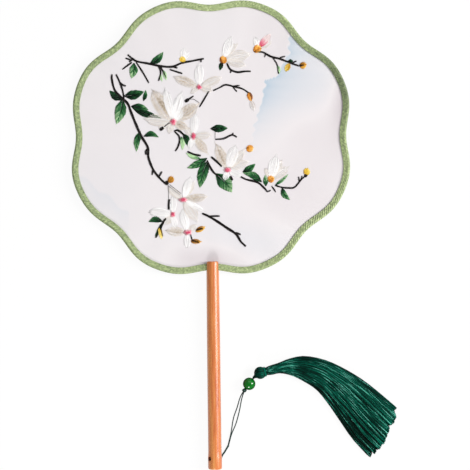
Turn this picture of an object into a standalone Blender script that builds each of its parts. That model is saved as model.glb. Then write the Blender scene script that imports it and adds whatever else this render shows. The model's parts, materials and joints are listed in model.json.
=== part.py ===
"""A round embroidered hand fan with a turned wooden handle, a bead and a thread tassel.

The fan lies flat on its back: the face is in the XY plane, +Z is up and the handle points to -Y.
The origin is under the middle of the fan's own box, at the handle's lowest line. Units are metres.
The face is silk gauze inside a wire hoop, under a folded ribbon binding. The hoop's two ends run
side by side down into the handle, whose slotted end grips the rim.
"""

import math

import bmesh
import bpy
import numpy as np
from mathutils import Vector

# Clearances and cuts that every piece shares
CLEARANCE = 0.0003
CUT_OVERRUN = 0.002

# Face outline: eight shallow lobes, with a notch at the handle
FACE_RADIUS = 0.1254
LOBES = 8
LOBE_RISE = 0.0042
LOBE_FLATTENING = 0.0007
FACE_WIDENING = 0.0011
FACE_LEAN = 0.00045
STEPS_PER_LOBE = 10

# Hoop wire, silk and binding
WIRE_DIAMETER = 0.0022
WIRE_BEND_RADIUS = 0.0020
TANG_LENGTH = 0.026
SILK_THICKNESS = 0.0003
BINDING_WALL = 0.0005
BINDING_WIDTH = 0.0063
BINDING_GAP = 0.0078

# Handle: a turned stick with a flared butt
HANDLE_LENGTH = 0.187
HANDLE_TOP_DIAMETER = 0.0113
HANDLE_MIDDLE_DIAMETER = 0.0120
HANDLE_BUTT_DIAMETER = 0.0126
HANDLE_MIDDLE_SHARE = 0.5
HANDLE_OVERLAP = 0.0079
FLARE_LENGTH = 0.0167
BUTT_BAND = 0.0120
BUTT_ROUNDING = 0.0016
TOP_ROUNDING = 0.0010
HANDLE_SIDES = 32

# Cord hole through the handle, aslant, and its countersunk mouths
HOLE_DIAMETER = 0.0036
HOLE_MOUTH_DIAMETER = 0.0046
HOLE_MOUTH_DEPTH = 0.0008
HOLE_FROM_BUTT = 0.0092
HOLE_SLANT = math.radians(50.0)

# Cord: the doubled end in the hole, the two strands and their knots
CORD_DIAMETER = 0.0017
STRAND_DIAMETER = 0.0009
STOPPER_DIAMETER = 0.0030
STOPPER_DEPTH = 0.0020
HITCH_DIAMETER = 0.0020
HITCH_STAND_OFF = 0.0007
LOOP_KNOT_DIAMETER = 0.0026
BEAD_KNOT_DIAMETER = 0.0029
CORD_STEP_DIAMETERS = 2.4

# Bead on the cord
BEAD_DIAMETER = 0.0110
BEAD_BORE_DIAMETER = 0.0022

# Tassel: a wound head over a ball, a collar and a skirt of threads
TASSEL_KNOT_DIAMETER = 0.0022
HEAD_DIAMETER = 0.0112
HEAD_WALL = 0.0013
HEAD_CUT_SHARE = 0.6
COLLAR_DIAMETER = 0.0090
COLLAR_WIDTH = 0.0015
COLLAR_WALL = 0.0010
SKIRT_LENGTH = 0.125
SKIRT_END_BOW = 0.0055
SKIRT_FLUTES = 7
SKIRT_FLUTE_DEPTH_SHARE = 0.10
TASSEL_HEADING = math.radians(13.0)
HEAD_HEADING = math.radians(35.0)
BEAD_HEADING = math.radians(53.0)

# Embroidery: stitched layers over the silk
STITCH_THICKNESS = 0.00025
STITCH_GAP = 0.00015
EDGE_HEIGHT_SHARE = 0.6
FLOWER_STEPS = 60
FLOWER_HEART_SHARES = 2.2
HUNDREDTH_SHARE = 0.01

# Places worked out from the sizes above
AXIS_HEIGHT = HANDLE_BUTT_DIAMETER / 2
WIRE_INSET = WIRE_DIAMETER / 2 + CLEARANCE + BINDING_WALL
SILK_INSET = WIRE_INSET + WIRE_DIAMETER / 2 + CLEARANCE
TANG_OFFSET = (WIRE_DIAMETER + CLEARANCE) / 2


def rim_radius(turn):
    """Distance of the face's outer edge from its centre, turn radians round from the handle."""
    lobes = LOBE_RISE * np.cos(LOBES * turn) + LOBE_FLATTENING * np.cos(2 * LOBES * turn)
    return FACE_RADIUS - lobes - FACE_WIDENING * np.cos(2 * turn) - FACE_LEAN * np.sin(2 * turn)


def rim_slope(turn):
    """How fast that distance grows with the turn."""
    lobes = LOBE_RISE * np.sin(LOBES * turn) + 2 * LOBE_FLATTENING * np.sin(2 * LOBES * turn)
    oval = 2 * FACE_WIDENING * np.sin(2 * turn) - 2 * FACE_LEAN * np.cos(2 * turn)
    return LOBES * lobes + oval


def rim_points(turn, inset):
    """Points at an even inset from the face's outer edge, around the face's own centre."""
    turn = np.asarray(turn, dtype=float)
    radius = rim_radius(turn)
    slope = rim_slope(turn)
    outward = np.stack([np.sin(turn), -np.cos(turn)], axis=-1)
    along = np.stack([np.cos(turn), np.sin(turn)], axis=-1)
    tangent = slope[..., None] * outward + radius[..., None] * along
    normal = np.stack([tangent[..., 1], -tangent[..., 0]], axis=-1)
    normal /= np.linalg.norm(normal, axis=-1, keepdims=True)
    return radius[..., None] * outward - inset * normal


def turn_at_side(side):
    """The turn at which the rim stands this far to the side of the handle's axis."""
    return math.asin(side / float(rim_radius(0.0)))


RIM_TURNS = np.linspace(0, 2 * math.pi, LOBES * STEPS_PER_LOBE + 1)
NOTCH_RADIUS = float(rim_radius(0.0))
FACE_TOP = float(rim_points(RIM_TURNS, 0.0)[:, 1].max())
FACE_Y = (HANDLE_LENGTH - HANDLE_OVERLAP + NOTCH_RADIUS - FACE_TOP) / 2
HANDLE_TOP_Y = FACE_Y - NOTCH_RADIUS + HANDLE_OVERLAP
BUTT_Y = HANDLE_TOP_Y - HANDLE_LENGTH
RIM_LOW = float(rim_points(turn_at_side(HANDLE_TOP_DIAMETER / 2), 0.0)[1])
SLOT_FLOOR_Y = FACE_Y + min(RIM_LOW, -NOTCH_RADIUS) - CLEARANCE

# Cord hole: its middle on the handle's axis, and its direction from the stopper to the exit
HOLE_MIDDLE = Vector((0.0, BUTT_Y + HOLE_FROM_BUTT, AXIS_HEIGHT))
HOLE_AXIS = Vector((math.sin(HOLE_SLANT), 0.0, -math.cos(HOLE_SLANT)))

# Cord route in shares of its reach, from the middle of the hole to the bead's knot
CORD_REACH = 0.070
LOOP_KNOT_SHARES = (0.170, 0.155, -0.0707)
NECK_SHARES = [
    (0.0971, 0.0430, -0.0729),
    (0.1229, 0.0771, -0.0750),
    (0.1457, 0.1143, -0.0743),
]
LEFT_STRAND_SHARES = [
    (0.1700, 0.1807, -0.0707),
    (0.1814, 0.2136, -0.0686),
    (0.1929, 0.2479, -0.0657),
    (0.2100, 0.3190, -0.0693),
    (0.2260, 0.4200, -0.0820),
    (0.2500, 0.5470, -0.0810),
    (0.2860, 0.6240, -0.0720),
    (0.3210, 0.7530, -0.0420),
    (0.3410, 0.8110, -0.0240),
    (0.3700, 0.8600, -0.0160),
]
RIGHT_STRAND_SHARES = [
    (0.1843, 0.1779, -0.0729),
    (0.1900, 0.2107, -0.0800),
    (0.2000, 0.2493, -0.0827),
    (0.2186, 0.3221, -0.0826),
    (0.2690, 0.4190, -0.0820),
    (0.3060, 0.5470, -0.0810),
    (0.3260, 0.6240, -0.0720),
    (0.3490, 0.7510, -0.0420),
    (0.3610, 0.8060, -0.0240),
    (0.3850, 0.8510, -0.0160),
]
BEAD_KNOT_SHARES = (0.389, 0.877)

# Skirt edges in shares of its length, from the head's middle along the tassel: the outer edge,
# the inner edge, and the bundle's thickness
SKIRT_SHARES = [
    (0.037, 0.025, 0.037, -0.025, 0.050),
    (0.080, 0.028, 0.080, -0.028, 0.056),
    (0.143, 0.034, 0.139, -0.034, 0.060),
    (0.232, 0.048, 0.220, -0.076, 0.062),
    (0.340, 0.040, 0.295, -0.140, 0.057),
    (0.471, -0.019, 0.367, -0.219, 0.052),
    (0.589, -0.109, 0.422, -0.333, 0.046),
    (0.704, -0.222, 0.473, -0.469, 0.041),
    (0.811, -0.357, 0.529, -0.620, 0.036),
    (0.899, -0.487, 0.615, -0.782, 0.032),
]

# Flowers, in hundredths of the face's radius: name, layer, centre, and each petal's heading in
# degrees, length and width
FLOWER_SHARES = [
    ("flower_upper_middle", 2, (-8.0, 36.0), [
        (88, 17.5, 7.0), (157, 20.5, 7.0), (23, 18.0, 6.5), (-17, 10.5, 5.0), (-147, 8.0, 4.5)]),
    ("flower_large", 2, (-27.0, 11.5), [
        (123, 28.0, 12.0), (99, 25.5, 7.0), (70, 23.0, 6.5), (36, 23.0, 9.5), (172, 23.5, 6.5),
        (-157, 12.0, 5.0), (-26, 12.0, 6.5), (-101, 11.0, 6.0)]),
    ("flower_middle", 3, (-12.5, 1.0), [
        (78, 16.0, 6.0), (8, 14.5, 6.0), (-52, 16.5, 6.5), (134, 7.5, 4.5), (-76, 10.5, 6.0)]),
    ("flower_right", 2, (11.5, -23.5), [
        (113, 21.0, 8.0), (78, 17.5, 7.0), (50, 20.0, 6.5), (21, 17.5, 6.0), (-24, 11.5, 5.0),
        (-105, 8.5, 4.5)]),
    ("flower_lower_upper", 3, (-20.5, -44.5), [
        (65, 18.0, 6.0), (7, 18.0, 6.5), (-31, 16.0, 5.0), (-61, 15.0, 6.5), (141, 12.0, 4.5)]),
    ("flower_lower_left", 2, (-28.0, -55.0), [
        (173, 18.0, 8.0), (89, 10.5, 4.5), (-79, 10.0, 4.5), (-134, 9.5, 5.0)]),
    ("flower_lower", 1, (-17.5, -68.0), [
        (96, 15.5, 6.0), (175, 16.0, 6.0), (-94, 11.5, 5.0), (39, 10.5, 5.0)]),
    ("flower_top", 2, (9.5, 56.0), [
        (68, 17.5, 7.0), (82, 12.5, 4.5), (10, 20.5, 8.5), (-17, 17.5, 6.5)]),
    ("flower_top_right", 2, (34.5, 63.5), [
        (106, 8.5, 4.5), (49, 12.5, 4.5), (26, 11.5, 5.0)]),
    ("flower_far_right", 2, (42.5, -30.5), [
        (81, 17.5, 6.5), (58, 16.5, 5.0), (34, 15.5, 7.0), (117, 9.5, 3.5)]),
    ("flower_small", 2, (-19.5, 56.0), [
        (80, 8.5, 5.0), (46, 7.0, 3.0)]),
]

# Branches, in the same hundredths: name, width of the main line, the main line, and its twigs
BRANCH_SHARES = [
    ("branch_top_left", 1.1,
     [(-59.0, 60.0), (-55.5, 57.0), (-52.0, 55.0), (-44.5, 53.5), (-35.5, 51.5), (-27.0, 51.0),
      (-20.5, 53.5), (-12.5, 55.0), (-4.5, 56.5)],
     [[(-53.0, 55.4), (-48.5, 47.5), (-44.0, 39.5)], [(-37.0, 51.8), (-35.5, 47.0), (-37.0, 41.0)],
      [(-55.5, 57.0), (-59.5, 52.0), (-63.0, 49.5)]]),
    ("branch_trunk", 1.8,
     [(-70.5, 46.0), (-70.5, 42.0), (-68.5, 34.5), (-64.0, 29.5), (-59.5, 25.0), (-57.0, 18.5),
      (-53.5, 9.5), (-50.0, 1.5), (-45.5, -6.5), (-45.0, -14.0), (-41.5, -23.0), (-36.5, -29.5),
      (-32.0, -33.5)],
     [[(-67.5, 46.0), (-65.0, 40.5), (-63.0, 34.5), (-61.5, 27.5)]]),
    ("branch_lower", 1.6,
     [(-7.0, -54.5), (-2.5, -56.5), (4.0, -60.5), (10.5, -65.0), (17.0, -69.5), (20.5, -75.0),
      (24.0, -78.5)],
     [[(-2.5, -56.5), (5.5, -56.5)]]),
    ("branch_right", 1.4,
     [(21.0, -28.5), (25.0, -30.5), (32.5, -32.5), (36.5, -35.5), (40.0, -39.5)],
     []),
    ("branch_far_right", 1.2,
     [(45.5, -35.0), (50.5, -36.5), (55.5, -37.0), (59.5, -36.5), (64.0, -31.5), (67.5, -28.5)],
     []),
    ("branch_middle", 1.2, [(0.0, -14.0), (4.0, -17.5), (7.5, -21.0)], []),
    ("branch_middle_left", 1.0, [(-17.0, -10.0), (-12.5, -12.0), (-7.5, -13.0)], []),
    ("branch_middle_right", 1.0, [(3.0, -1.5), (9.0, -1.0), (15.0, 1.5), (18.5, 0.0)], []),
    ("branch_upper_middle", 1.2,
     [(2.0, 33.5), (6.5, 35.5), (11.0, 37.5), (17.5, 36.0), (23.0, 34.5), (27.5, 31.5)],
     []),
    ("branch_top", 1.4, [(12.0, 53.0), (14.5, 48.5), (19.5, 46.5), (24.5, 47.0), (29.0, 47.0)], []),
    ("branch_top_right", 1.4,
     [(32.0, 61.0), (38.0, 60.5), (43.5, 57.5), (50.5, 55.5), (58.0, 52.5), (63.5, 50.5)],
     [[(44.5, 57.5), (48.0, 51.5), (49.0, 45.0)]]),
]

# Leaves and buds, in the same hundredths: name, layer, stalk end, tip and width
LEAF_SHARES = [
    ("leaf_top", 1, (-43.0, 53.5), (-33.5, 61.5), 5.0),
    ("leaf_top_left", 1, (-54.5, 54.0), (-56.5, 43.0), 6.0),
    ("leaf_trunk_upper", 1, (-60.5, 30.0), (-47.0, 33.5), 6.5),
    ("leaf_trunk_long", 1, (-62.5, 25.5), (-68.5, 11.0), 8.0),
    ("leaf_trunk_right", 1, (-57.0, 22.5), (-35.5, 14.0), 6.5),
    ("leaf_trunk_middle", 1, (-50.5, 5.0), (-53.5, -9.5), 4.5),
    ("leaf_trunk_side", 1, (-48.0, 1.5), (-37.5, 0.0), 4.5),
    ("leaf_inner", 1, (-22.0, 4.5), (-17.0, -6.0), 5.0),
    ("leaf_centre_left", 1, (-2.5, -14.5), (-17.0, -22.0), 6.0),
    ("leaf_centre", 0, (-2.5, -17.0), (-8.5, -36.0), 7.5),
    ("leaf_centre_right", 1, (2.0, -25.0), (14.5, -39.5), 10.0),
    ("leaf_right", 1, (25.5, -26.5), (34.5, -33.0), 5.0),
    ("leaf_far_right", 1, (50.5, -36.5), (56.0, -45.5), 4.0),
    ("leaf_upper_right", 1, (1.0, 5.5), (12.5, 6.0), 6.0),
    ("leaf_lower_left", 1, (-35.5, -60.0), (-45.0, -60.0), 4.5),
]
BUD_SHARES = [
    ("bud_top_right", 1, (64.0, 50.0), (69.5, 51.5), 5.5),
    ("bud_middle", 1, (27.5, -10.5), (28.5, -6.0), 5.0),
    ("bud_trunk", 1, (-31.5, -32.5), (-27.5, -27.5), 4.5),
    ("bud_far_right", 1, (67.5, -29.0), (69.5, -23.5), 5.0),
]


def clear_scene():
    """Remove whatever the file holds before the fan is made."""
    for old in list(bpy.data.objects):
        bpy.data.objects.remove(old, do_unlink=True)


def finish(name, colour, roughness, metallic=0.0):
    """A plain surface with the piece's colour."""
    made = bpy.data.materials.new(name)
    made.use_nodes = True
    shader = made.node_tree.nodes["Principled BSDF"]
    shader.inputs["Base Color"].default_value = (*colour, 1.0)
    shader.inputs["Roughness"].default_value = roughness
    shader.inputs["Metallic"].default_value = metallic
    made.diffuse_color = (*colour, 1.0)
    return made


def pivot(name, place, heading=0.0, parent=None):
    """An empty that carries the pieces of one moving body, on that body's joint axis."""
    empty = bpy.data.objects.new(name, None)
    bpy.context.collection.objects.link(empty)
    empty.parent = parent
    empty.location = place
    empty.rotation_euler = (0.0, 0.0, heading)
    return empty


def add_piece(name, vertices, faces, surface, parent=None, smooth=True):
    """One closed mesh as an object, with its faces turned outwards."""
    mesh = bpy.data.meshes.new(name)
    mesh.from_pydata([tuple(map(float, point)) for point in vertices], [], faces)
    shell = bmesh.new()
    shell.from_mesh(mesh)
    bmesh.ops.recalc_face_normals(shell, faces=shell.faces[:])
    shell.to_mesh(mesh)
    shell.free()
    if smooth:
        mesh.shade_smooth()
        mesh.set_sharp_from_angle(angle=math.radians(40.0))
    piece = bpy.data.objects.new(name, mesh)
    bpy.context.collection.objects.link(piece)
    if surface:
        mesh.materials.append(surface)
    piece.parent = parent
    return piece


def skin_rings(rings, closed=False):
    """Vertices and faces of a skin over rings of points. A ring of one point is a pole."""
    vertices = []
    starts = []
    for ring in rings:
        starts.append(len(vertices))
        vertices.extend(ring)
    faces = []
    last = len(rings) if closed else len(rings) - 1
    for index in range(last):
        after = (index + 1) % len(rings)
        count = max(len(rings[index]), len(rings[after]))
        for side in range(count):
            step = (side + 1) % count
            near = [starts[index] + side % len(rings[index]), starts[index] + step % len(rings[index])]
            far = [starts[after] + step % len(rings[after]), starts[after] + side % len(rings[after])]
            corners = list(dict.fromkeys(near + far))
            faces.append(corners)
    if not closed:
        for index in (0, len(rings) - 1):
            if len(rings[index]) > 2:
                faces.append([starts[index] + side for side in range(len(rings[index]))])
    return vertices, faces


def turned(name, profile, sides, surface, parent=None, closed=False):
    """A profile of (distance, radius) pairs turned round the local X axis."""
    rings = []
    for distance, radius in profile:
        if radius == 0:
            rings.append([(distance, 0.0, 0.0)])
            continue
        turns = [2 * math.pi * side / sides for side in range(sides)]
        rings.append([(distance, radius * math.cos(a), radius * math.sin(a)) for a in turns])
    vertices, faces = skin_rings(rings, closed)
    return add_piece(name, vertices, faces, surface, parent)


def arc(centre, radius, start, end, steps):
    """Profile points along an arc, angles in degrees from the +distance direction."""
    turns = np.radians(np.linspace(start, end, steps))
    return [(centre + radius * math.cos(a), abs(radius * math.sin(a))) for a in turns]


def smooth_route(points, step):
    """Evenly spaced points on a smooth curve through the route's own points."""
    knots = [np.array(point, dtype=float) for point in points]
    knots = [2 * knots[0] - knots[1]] + knots + [2 * knots[-1] - knots[-2]]
    fine = []
    for before, start, end, after in zip(knots, knots[1:], knots[2:], knots[3:]):
        for share in np.linspace(0.0, 1.0, 16, endpoint=False):
            bend = 2 * before - 5 * start + 4 * end - after
            twist = 3 * start - 3 * end + after - before
            fine.append(start + 0.5 * share * ((end - before) + share * (bend + share * twist)))
    fine.append(knots[-2])
    fine = np.array(fine)
    lengths = np.linalg.norm(np.diff(fine, axis=0), axis=1)
    travelled = np.concatenate([[0.0], np.cumsum(lengths)])
    count = max(2, int(round(travelled[-1] / step)) + 1)
    wanted = np.linspace(0.0, travelled[-1], count)
    return np.stack([np.interp(wanted, travelled, fine[:, axis]) for axis in range(3)], axis=1)


def tube(name, points, diameter, surface, parent=None):
    """A round cord or wire through points, with filled ends."""
    curve = bpy.data.curves.new(name, "CURVE")
    curve.dimensions = "3D"
    curve.bevel_depth = diameter / 2
    curve.bevel_resolution = 2
    curve.use_fill_caps = True
    spline = curve.splines.new("POLY")
    spline.points.add(len(points) - 1)
    for knot, point in zip(spline.points, points):
        knot.co = (*map(float, point), 1.0)
    curve.materials.append(surface)
    piece = bpy.data.objects.new(name, curve)
    bpy.context.collection.objects.link(piece)
    piece.parent = parent
    return piece


def combine(piece, other, operation):
    """Cut a piece with another shape, or join that shape to it, and keep the other as a guide."""
    other.hide_render = True
    other.display_type = "WIRE"
    change = piece.modifiers.new(other.name, "BOOLEAN")
    change.operation = operation
    change.solver = "EXACT"
    change.object = other


def box(name, low, high):
    """A plain box between two corners, used as a cutter."""
    corners = [(x, y, z) for x in (low[0], high[0]) for y in (low[1], high[1]) for z in (low[2], high[2])]
    faces = [(0, 1, 3, 2), (4, 6, 7, 5), (0, 4, 5, 1), (2, 3, 7, 6), (0, 2, 6, 4), (1, 5, 7, 3)]
    return add_piece(name, corners, faces, None, smooth=False)


def make_handle(wood):
    """The turned stick, cut by the rim's slot, the hoop's socket and the cord hole."""
    butt = HANDLE_BUTT_DIAMETER / 2
    middle = HANDLE_MIDDLE_DIAMETER / 2
    top = HANDLE_TOP_DIAMETER / 2
    turns = np.radians([90.0, 60.0, 30.0, 0.0])
    foot = [(BUTT_ROUNDING * (1 - math.sin(a)), butt - BUTT_ROUNDING * (1 - math.cos(a))) for a in turns]
    head = [
        (HANDLE_LENGTH - TOP_ROUNDING * (1 - math.sin(a)), top - TOP_ROUNDING * (1 - math.cos(a)))
        for a in turns[::-1]
    ]
    shaft = [(BUTT_BAND, butt), (FLARE_LENGTH, middle), (HANDLE_LENGTH * HANDLE_MIDDLE_SHARE, middle)]
    handle = turned("handle", foot + shaft + head, HANDLE_SIDES, wood)
    handle.location = (0.0, BUTT_Y, AXIS_HEIGHT)
    handle.rotation_euler = (0.0, 0.0, math.pi / 2)

    half_slot = WIRE_INSET + CLEARANCE
    slot = box(
        "rim_slot_cutter",
        (-top - CUT_OVERRUN, SLOT_FLOOR_Y, AXIS_HEIGHT - half_slot),
        (top + CUT_OVERRUN, HANDLE_TOP_Y + CUT_OVERRUN, AXIS_HEIGHT + half_slot),
    )
    half_width = TANG_OFFSET + WIRE_DIAMETER / 2 + CLEARANCE
    half_height = WIRE_DIAMETER / 2 + CLEARANCE
    tang_end = FACE_Y - NOTCH_RADIUS - TANG_LENGTH
    socket = box(
        "tang_socket_cutter",
        (-half_width, tang_end - CLEARANCE, AXIS_HEIGHT - half_height),
        (half_width, SLOT_FLOOR_Y + CUT_OVERRUN / 2, AXIS_HEIGHT + half_height),
    )
    reach = butt + CUT_OVERRUN
    mouth = HOLE_MOUTH_DIAMETER / 2
    hole = HOLE_DIAMETER / 2
    sink = butt - HOLE_MOUTH_DEPTH
    bore = turned(
        "cord_hole_cutter",
        [(-reach, mouth), (-butt, mouth), (-sink, hole), (sink, hole), (butt, mouth), (reach, mouth)],
        16,
        None,
    )
    bore.location = HOLE_MIDDLE
    bore.rotation_euler = (0.0, math.pi / 2 - HOLE_SLANT, 0.0)
    for cutter in (slot, socket, bore):
        combine(handle, cutter, "DIFFERENCE")


def make_hoop(wire):
    """One wire bent round the face, whose ends turn down side by side into the handle."""
    bend_side = TANG_OFFSET + WIRE_BEND_RADIUS
    start = turn_at_side(bend_side)
    between = (RIM_TURNS > start) & (RIM_TURNS < 2 * math.pi - start)
    turns = np.concatenate([[start], RIM_TURNS[between]])
    ring = rim_points(turns, WIRE_INSET)
    joint = ring[0]
    bends = np.radians([0.0, 22.5, 45.0, 67.5])
    arc_x = joint[0] - WIRE_BEND_RADIUS * np.cos(bends)
    arc_y = joint[1] - WIRE_BEND_RADIUS + WIRE_BEND_RADIUS * np.sin(bends)
    right = [(joint[0] - WIRE_BEND_RADIUS, -NOTCH_RADIUS - TANG_LENGTH), *zip(arc_x, arc_y)]
    left = [(-x, y) for x, y in reversed(right)]
    path = right + [tuple(point) for point in ring] + [(-joint[0], joint[1])] + left
    tube("hoop", [(x, y + FACE_Y, AXIS_HEIGHT) for x, y in path], WIRE_DIAMETER, wire)


def make_silk(gauze):
    """The gauze, a thin flat sheet that ends just inside the hoop."""
    outline = rim_points(RIM_TURNS[:-1], SILK_INSET)
    half = SILK_THICKNESS / 2
    rings = [[(x, y + FACE_Y, AXIS_HEIGHT + z) for x, y in outline] for z in (-half, half)]
    vertices, faces = skin_rings(rings)
    add_piece("silk_face", vertices, faces, gauze)


def binding_section():
    """Section of the folded ribbon as (inset, height): round the wire, flat on the silk."""
    outer = WIRE_DIAMETER / 2 + CLEARANCE + BINDING_WALL
    inner = WIRE_DIAMETER / 2 + CLEARANCE
    flap = SILK_THICKNESS / 2 + CLEARANCE
    turns = np.radians([90.0, 135.0, 180.0, 225.0, 270.0])
    outside = [(WIRE_INSET + outer * math.cos(a), outer * math.sin(a)) for a in turns]
    inside = [(WIRE_INSET + inner * math.cos(a), inner * math.sin(a)) for a in turns[::-1]]
    top = [(BINDING_WIDTH, flap), (BINDING_WIDTH, flap + BINDING_WALL)]
    bottom = [(BINDING_WIDTH, -flap - BINDING_WALL), (BINDING_WIDTH, -flap)]
    return top + outside + bottom + inside


def make_binding(ribbon):
    """The ribbon folded over the hoop all the way round, its ends hidden in the handle."""
    start = turn_at_side(BINDING_GAP / 2)
    between = (RIM_TURNS > start) & (RIM_TURNS < 2 * math.pi - start)
    turns = np.concatenate([[start], RIM_TURNS[between], [2 * math.pi - start]])
    lines = [(rim_points(turns, inset), height) for inset, height in binding_section()]
    rings = []
    for index in range(len(turns)):
        rings.append([(p[index, 0], p[index, 1] + FACE_Y, AXIS_HEIGHT + height) for p, height in lines])
    vertices, faces = skin_rings(rings)
    add_piece("edge_binding", vertices, faces, ribbon)


def layer_height(layer):
    """Height of a stitched layer's underside."""
    step = STITCH_THICKNESS + STITCH_GAP
    return AXIS_HEIGHT + SILK_THICKNESS / 2 + STITCH_GAP + layer * step


def face_place(shares):
    """A place on the face from hundredths of its radius."""
    return np.array(shares) * HUNDREDTH_SHARE * FACE_RADIUS + np.array([0.0, FACE_Y])


def make_flower(name, layer, centre, petals, thread):
    """A patch whose edge is the furthest of its petals, each an oval with one end at the centre."""
    turns = np.linspace(0, 2 * math.pi, FLOWER_STEPS, endpoint=False)
    reach = np.full(FLOWER_STEPS, FLOWER_HEART_SHARES)
    for heading, length, width in petals:
        lean = turns - math.radians(heading)
        along = np.maximum(np.cos(lean), 0.0)
        oval = length * along / (along**2 + (length / width * np.sin(lean)) ** 2)
        reach = np.maximum(reach, oval)
    middle = face_place(centre)
    reach = reach * HUNDREDTH_SHARE * FACE_RADIUS
    edge = middle + reach[:, None] * np.stack([np.cos(turns), np.sin(turns)], axis=1)
    base = layer_height(layer)
    brim = base + STITCH_THICKNESS * EDGE_HEIGHT_SHARE
    rings = [
        [(*middle, base)],
        [(x, y, base) for x, y in edge],
        [(x, y, brim) for x, y in edge],
        [(*middle, base + STITCH_THICKNESS)],
    ]
    vertices, faces = skin_rings(rings)
    add_piece(name, vertices, faces, thread)


def make_leaf(name, layer, stalk, tip, width, thread):
    """A pointed oval with a raised midrib."""
    start = face_place(stalk)
    end = face_place(tip)
    half = width * HUNDREDTH_SHARE * FACE_RADIUS / 2
    along = end - start
    across = np.array([-along[1], along[0]]) / np.linalg.norm(along)
    shares = np.linspace(0.0, 1.0, 7)
    bulge = half * np.sin(math.pi * shares[1:-1] ** 0.9)
    right = [start + along * s - across * b for s, b in zip(shares[1:-1], bulge)]
    left = [start + along * s + across * b for s, b in zip(shares[1:-1], bulge)]
    edge = [start, *right, end, *left[::-1]]
    base = layer_height(layer)
    brim = base + STITCH_THICKNESS * EDGE_HEIGHT_SHARE
    middle = (start + end) / 2
    rings = [
        [(*middle, base)],
        [(x, y, base) for x, y in edge],
        [(x, y, brim) for x, y in edge],
        [(*middle, base + STITCH_THICKNESS)],
    ]
    vertices, faces = skin_rings(rings)
    add_piece(name, vertices, faces, thread)


def make_ribbon(name, line, width, layer, surface):
    """A stitched line: a flat ribbon, narrower on top, that follows points on the face."""
    points = np.array([face_place(shares) for shares in line])
    ahead = np.gradient(points, axis=0)
    ahead /= np.linalg.norm(ahead, axis=1, keepdims=True)
    across = np.stack([-ahead[:, 1], ahead[:, 0]], axis=1)
    half = width * HUNDREDTH_SHARE * FACE_RADIUS / 2
    base = layer_height(layer)
    top = base + STITCH_THICKNESS
    narrow = half * EDGE_HEIGHT_SHARE
    section = [(-half, base), (half, base), (narrow, top), (-narrow, top)]
    rings = [[(*(p + a * side), z) for side, z in section] for p, a in zip(points, across)]
    vertices, faces = skin_rings(rings)
    return add_piece(name, vertices, faces, surface)


def make_branch(name, width, line, twigs, thread):
    """A stitched branch with its side twigs joined to it."""
    branch = make_ribbon(name, line, width, 0, thread)
    for number, twig in enumerate(twigs, start=1):
        side = make_ribbon(f"{name}_twig_{number}", twig, width * EDGE_HEIGHT_SHARE, 0, thread)
        combine(branch, side, "UNION")


def make_embroidery(silk_white, silk_green, silk_brown, silk_ochre):
    """The flowering spray: branches under leaves and buds, under flowers."""
    for name, width, line, twigs in BRANCH_SHARES:
        make_branch(name, width, line, twigs, silk_brown)
    for leaf in LEAF_SHARES:
        make_leaf(*leaf, silk_green)
    for bud in BUD_SHARES:
        make_leaf(*bud, silk_ochre)
    for flower in FLOWER_SHARES:
        make_flower(*flower, silk_white)


def cord_place(shares):
    """A place on the cord's route from shares of its reach."""
    return HOLE_MIDDLE + CORD_REACH * Vector(shares)


def ball(name, diameter, sides, surface, parent):
    """A small knot, near enough round."""
    profile = [(-diameter / 2, 0), *arc(0.0, diameter / 2, 150, 30, 5), (diameter / 2, 0)]
    return turned(name, profile, sides, surface, parent)


def trimmed(points, start_gap, end_gap):
    """A route without its first and last stretch of the given lengths."""
    lengths = np.linalg.norm(np.diff(points, axis=0), axis=1)
    travelled = np.concatenate([[0.0], np.cumsum(lengths)])
    wanted = np.linspace(start_gap, travelled[-1] - end_gap, len(points))
    return np.stack([np.interp(wanted, travelled, points[:, axis]) for axis in range(3)], axis=1)


def make_tail(cord, hitch_place):
    """The doubled cord in the hole, between its stopper knot and the hitch in the far mouth."""
    stopper_gap = HANDLE_BUTT_DIAMETER / 2 - STOPPER_DEPTH
    stopper = ball("stopper_knot", STOPPER_DIAMETER, 12, cord, None)
    stopper.location = HOLE_MIDDLE - HOLE_AXIS * stopper_gap
    stopper.rotation_euler = (0.0, math.pi / 2 - HOLE_SLANT, 0.0)
    first = HOLE_MIDDLE - HOLE_AXIS * (stopper_gap - STOPPER_DIAMETER / 2 - CLEARANCE)
    last = hitch_place - HOLE_AXIS * (HITCH_DIAMETER / 2 + CLEARANCE)
    tube("cord_tail", smooth_route([first, (first + last) / 2, last], CORD_DIAMETER), CORD_DIAMETER, cord)


def make_neck(cord, hitch, loop_place):
    """The doubled cord outside the hole, from the hitch to the knot where its strands part."""
    ball("hitch_knot", HITCH_DIAMETER, 12, cord, hitch)
    origin = hitch.location
    route = [origin] + [cord_place(shares) for shares in NECK_SHARES] + [loop_place]
    points = smooth_route([place - origin for place in route], CORD_DIAMETER)
    start_gap = HITCH_DIAMETER / 2 + CLEARANCE
    end_gap = LOOP_KNOT_DIAMETER / 2 + CLEARANCE
    tube("cord_neck", trimmed(points, start_gap, end_gap), CORD_DIAMETER, cord, hitch)
    knot = ball("loop_knot", LOOP_KNOT_DIAMETER, 12, cord, hitch)
    knot.location = loop_place - origin


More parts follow.
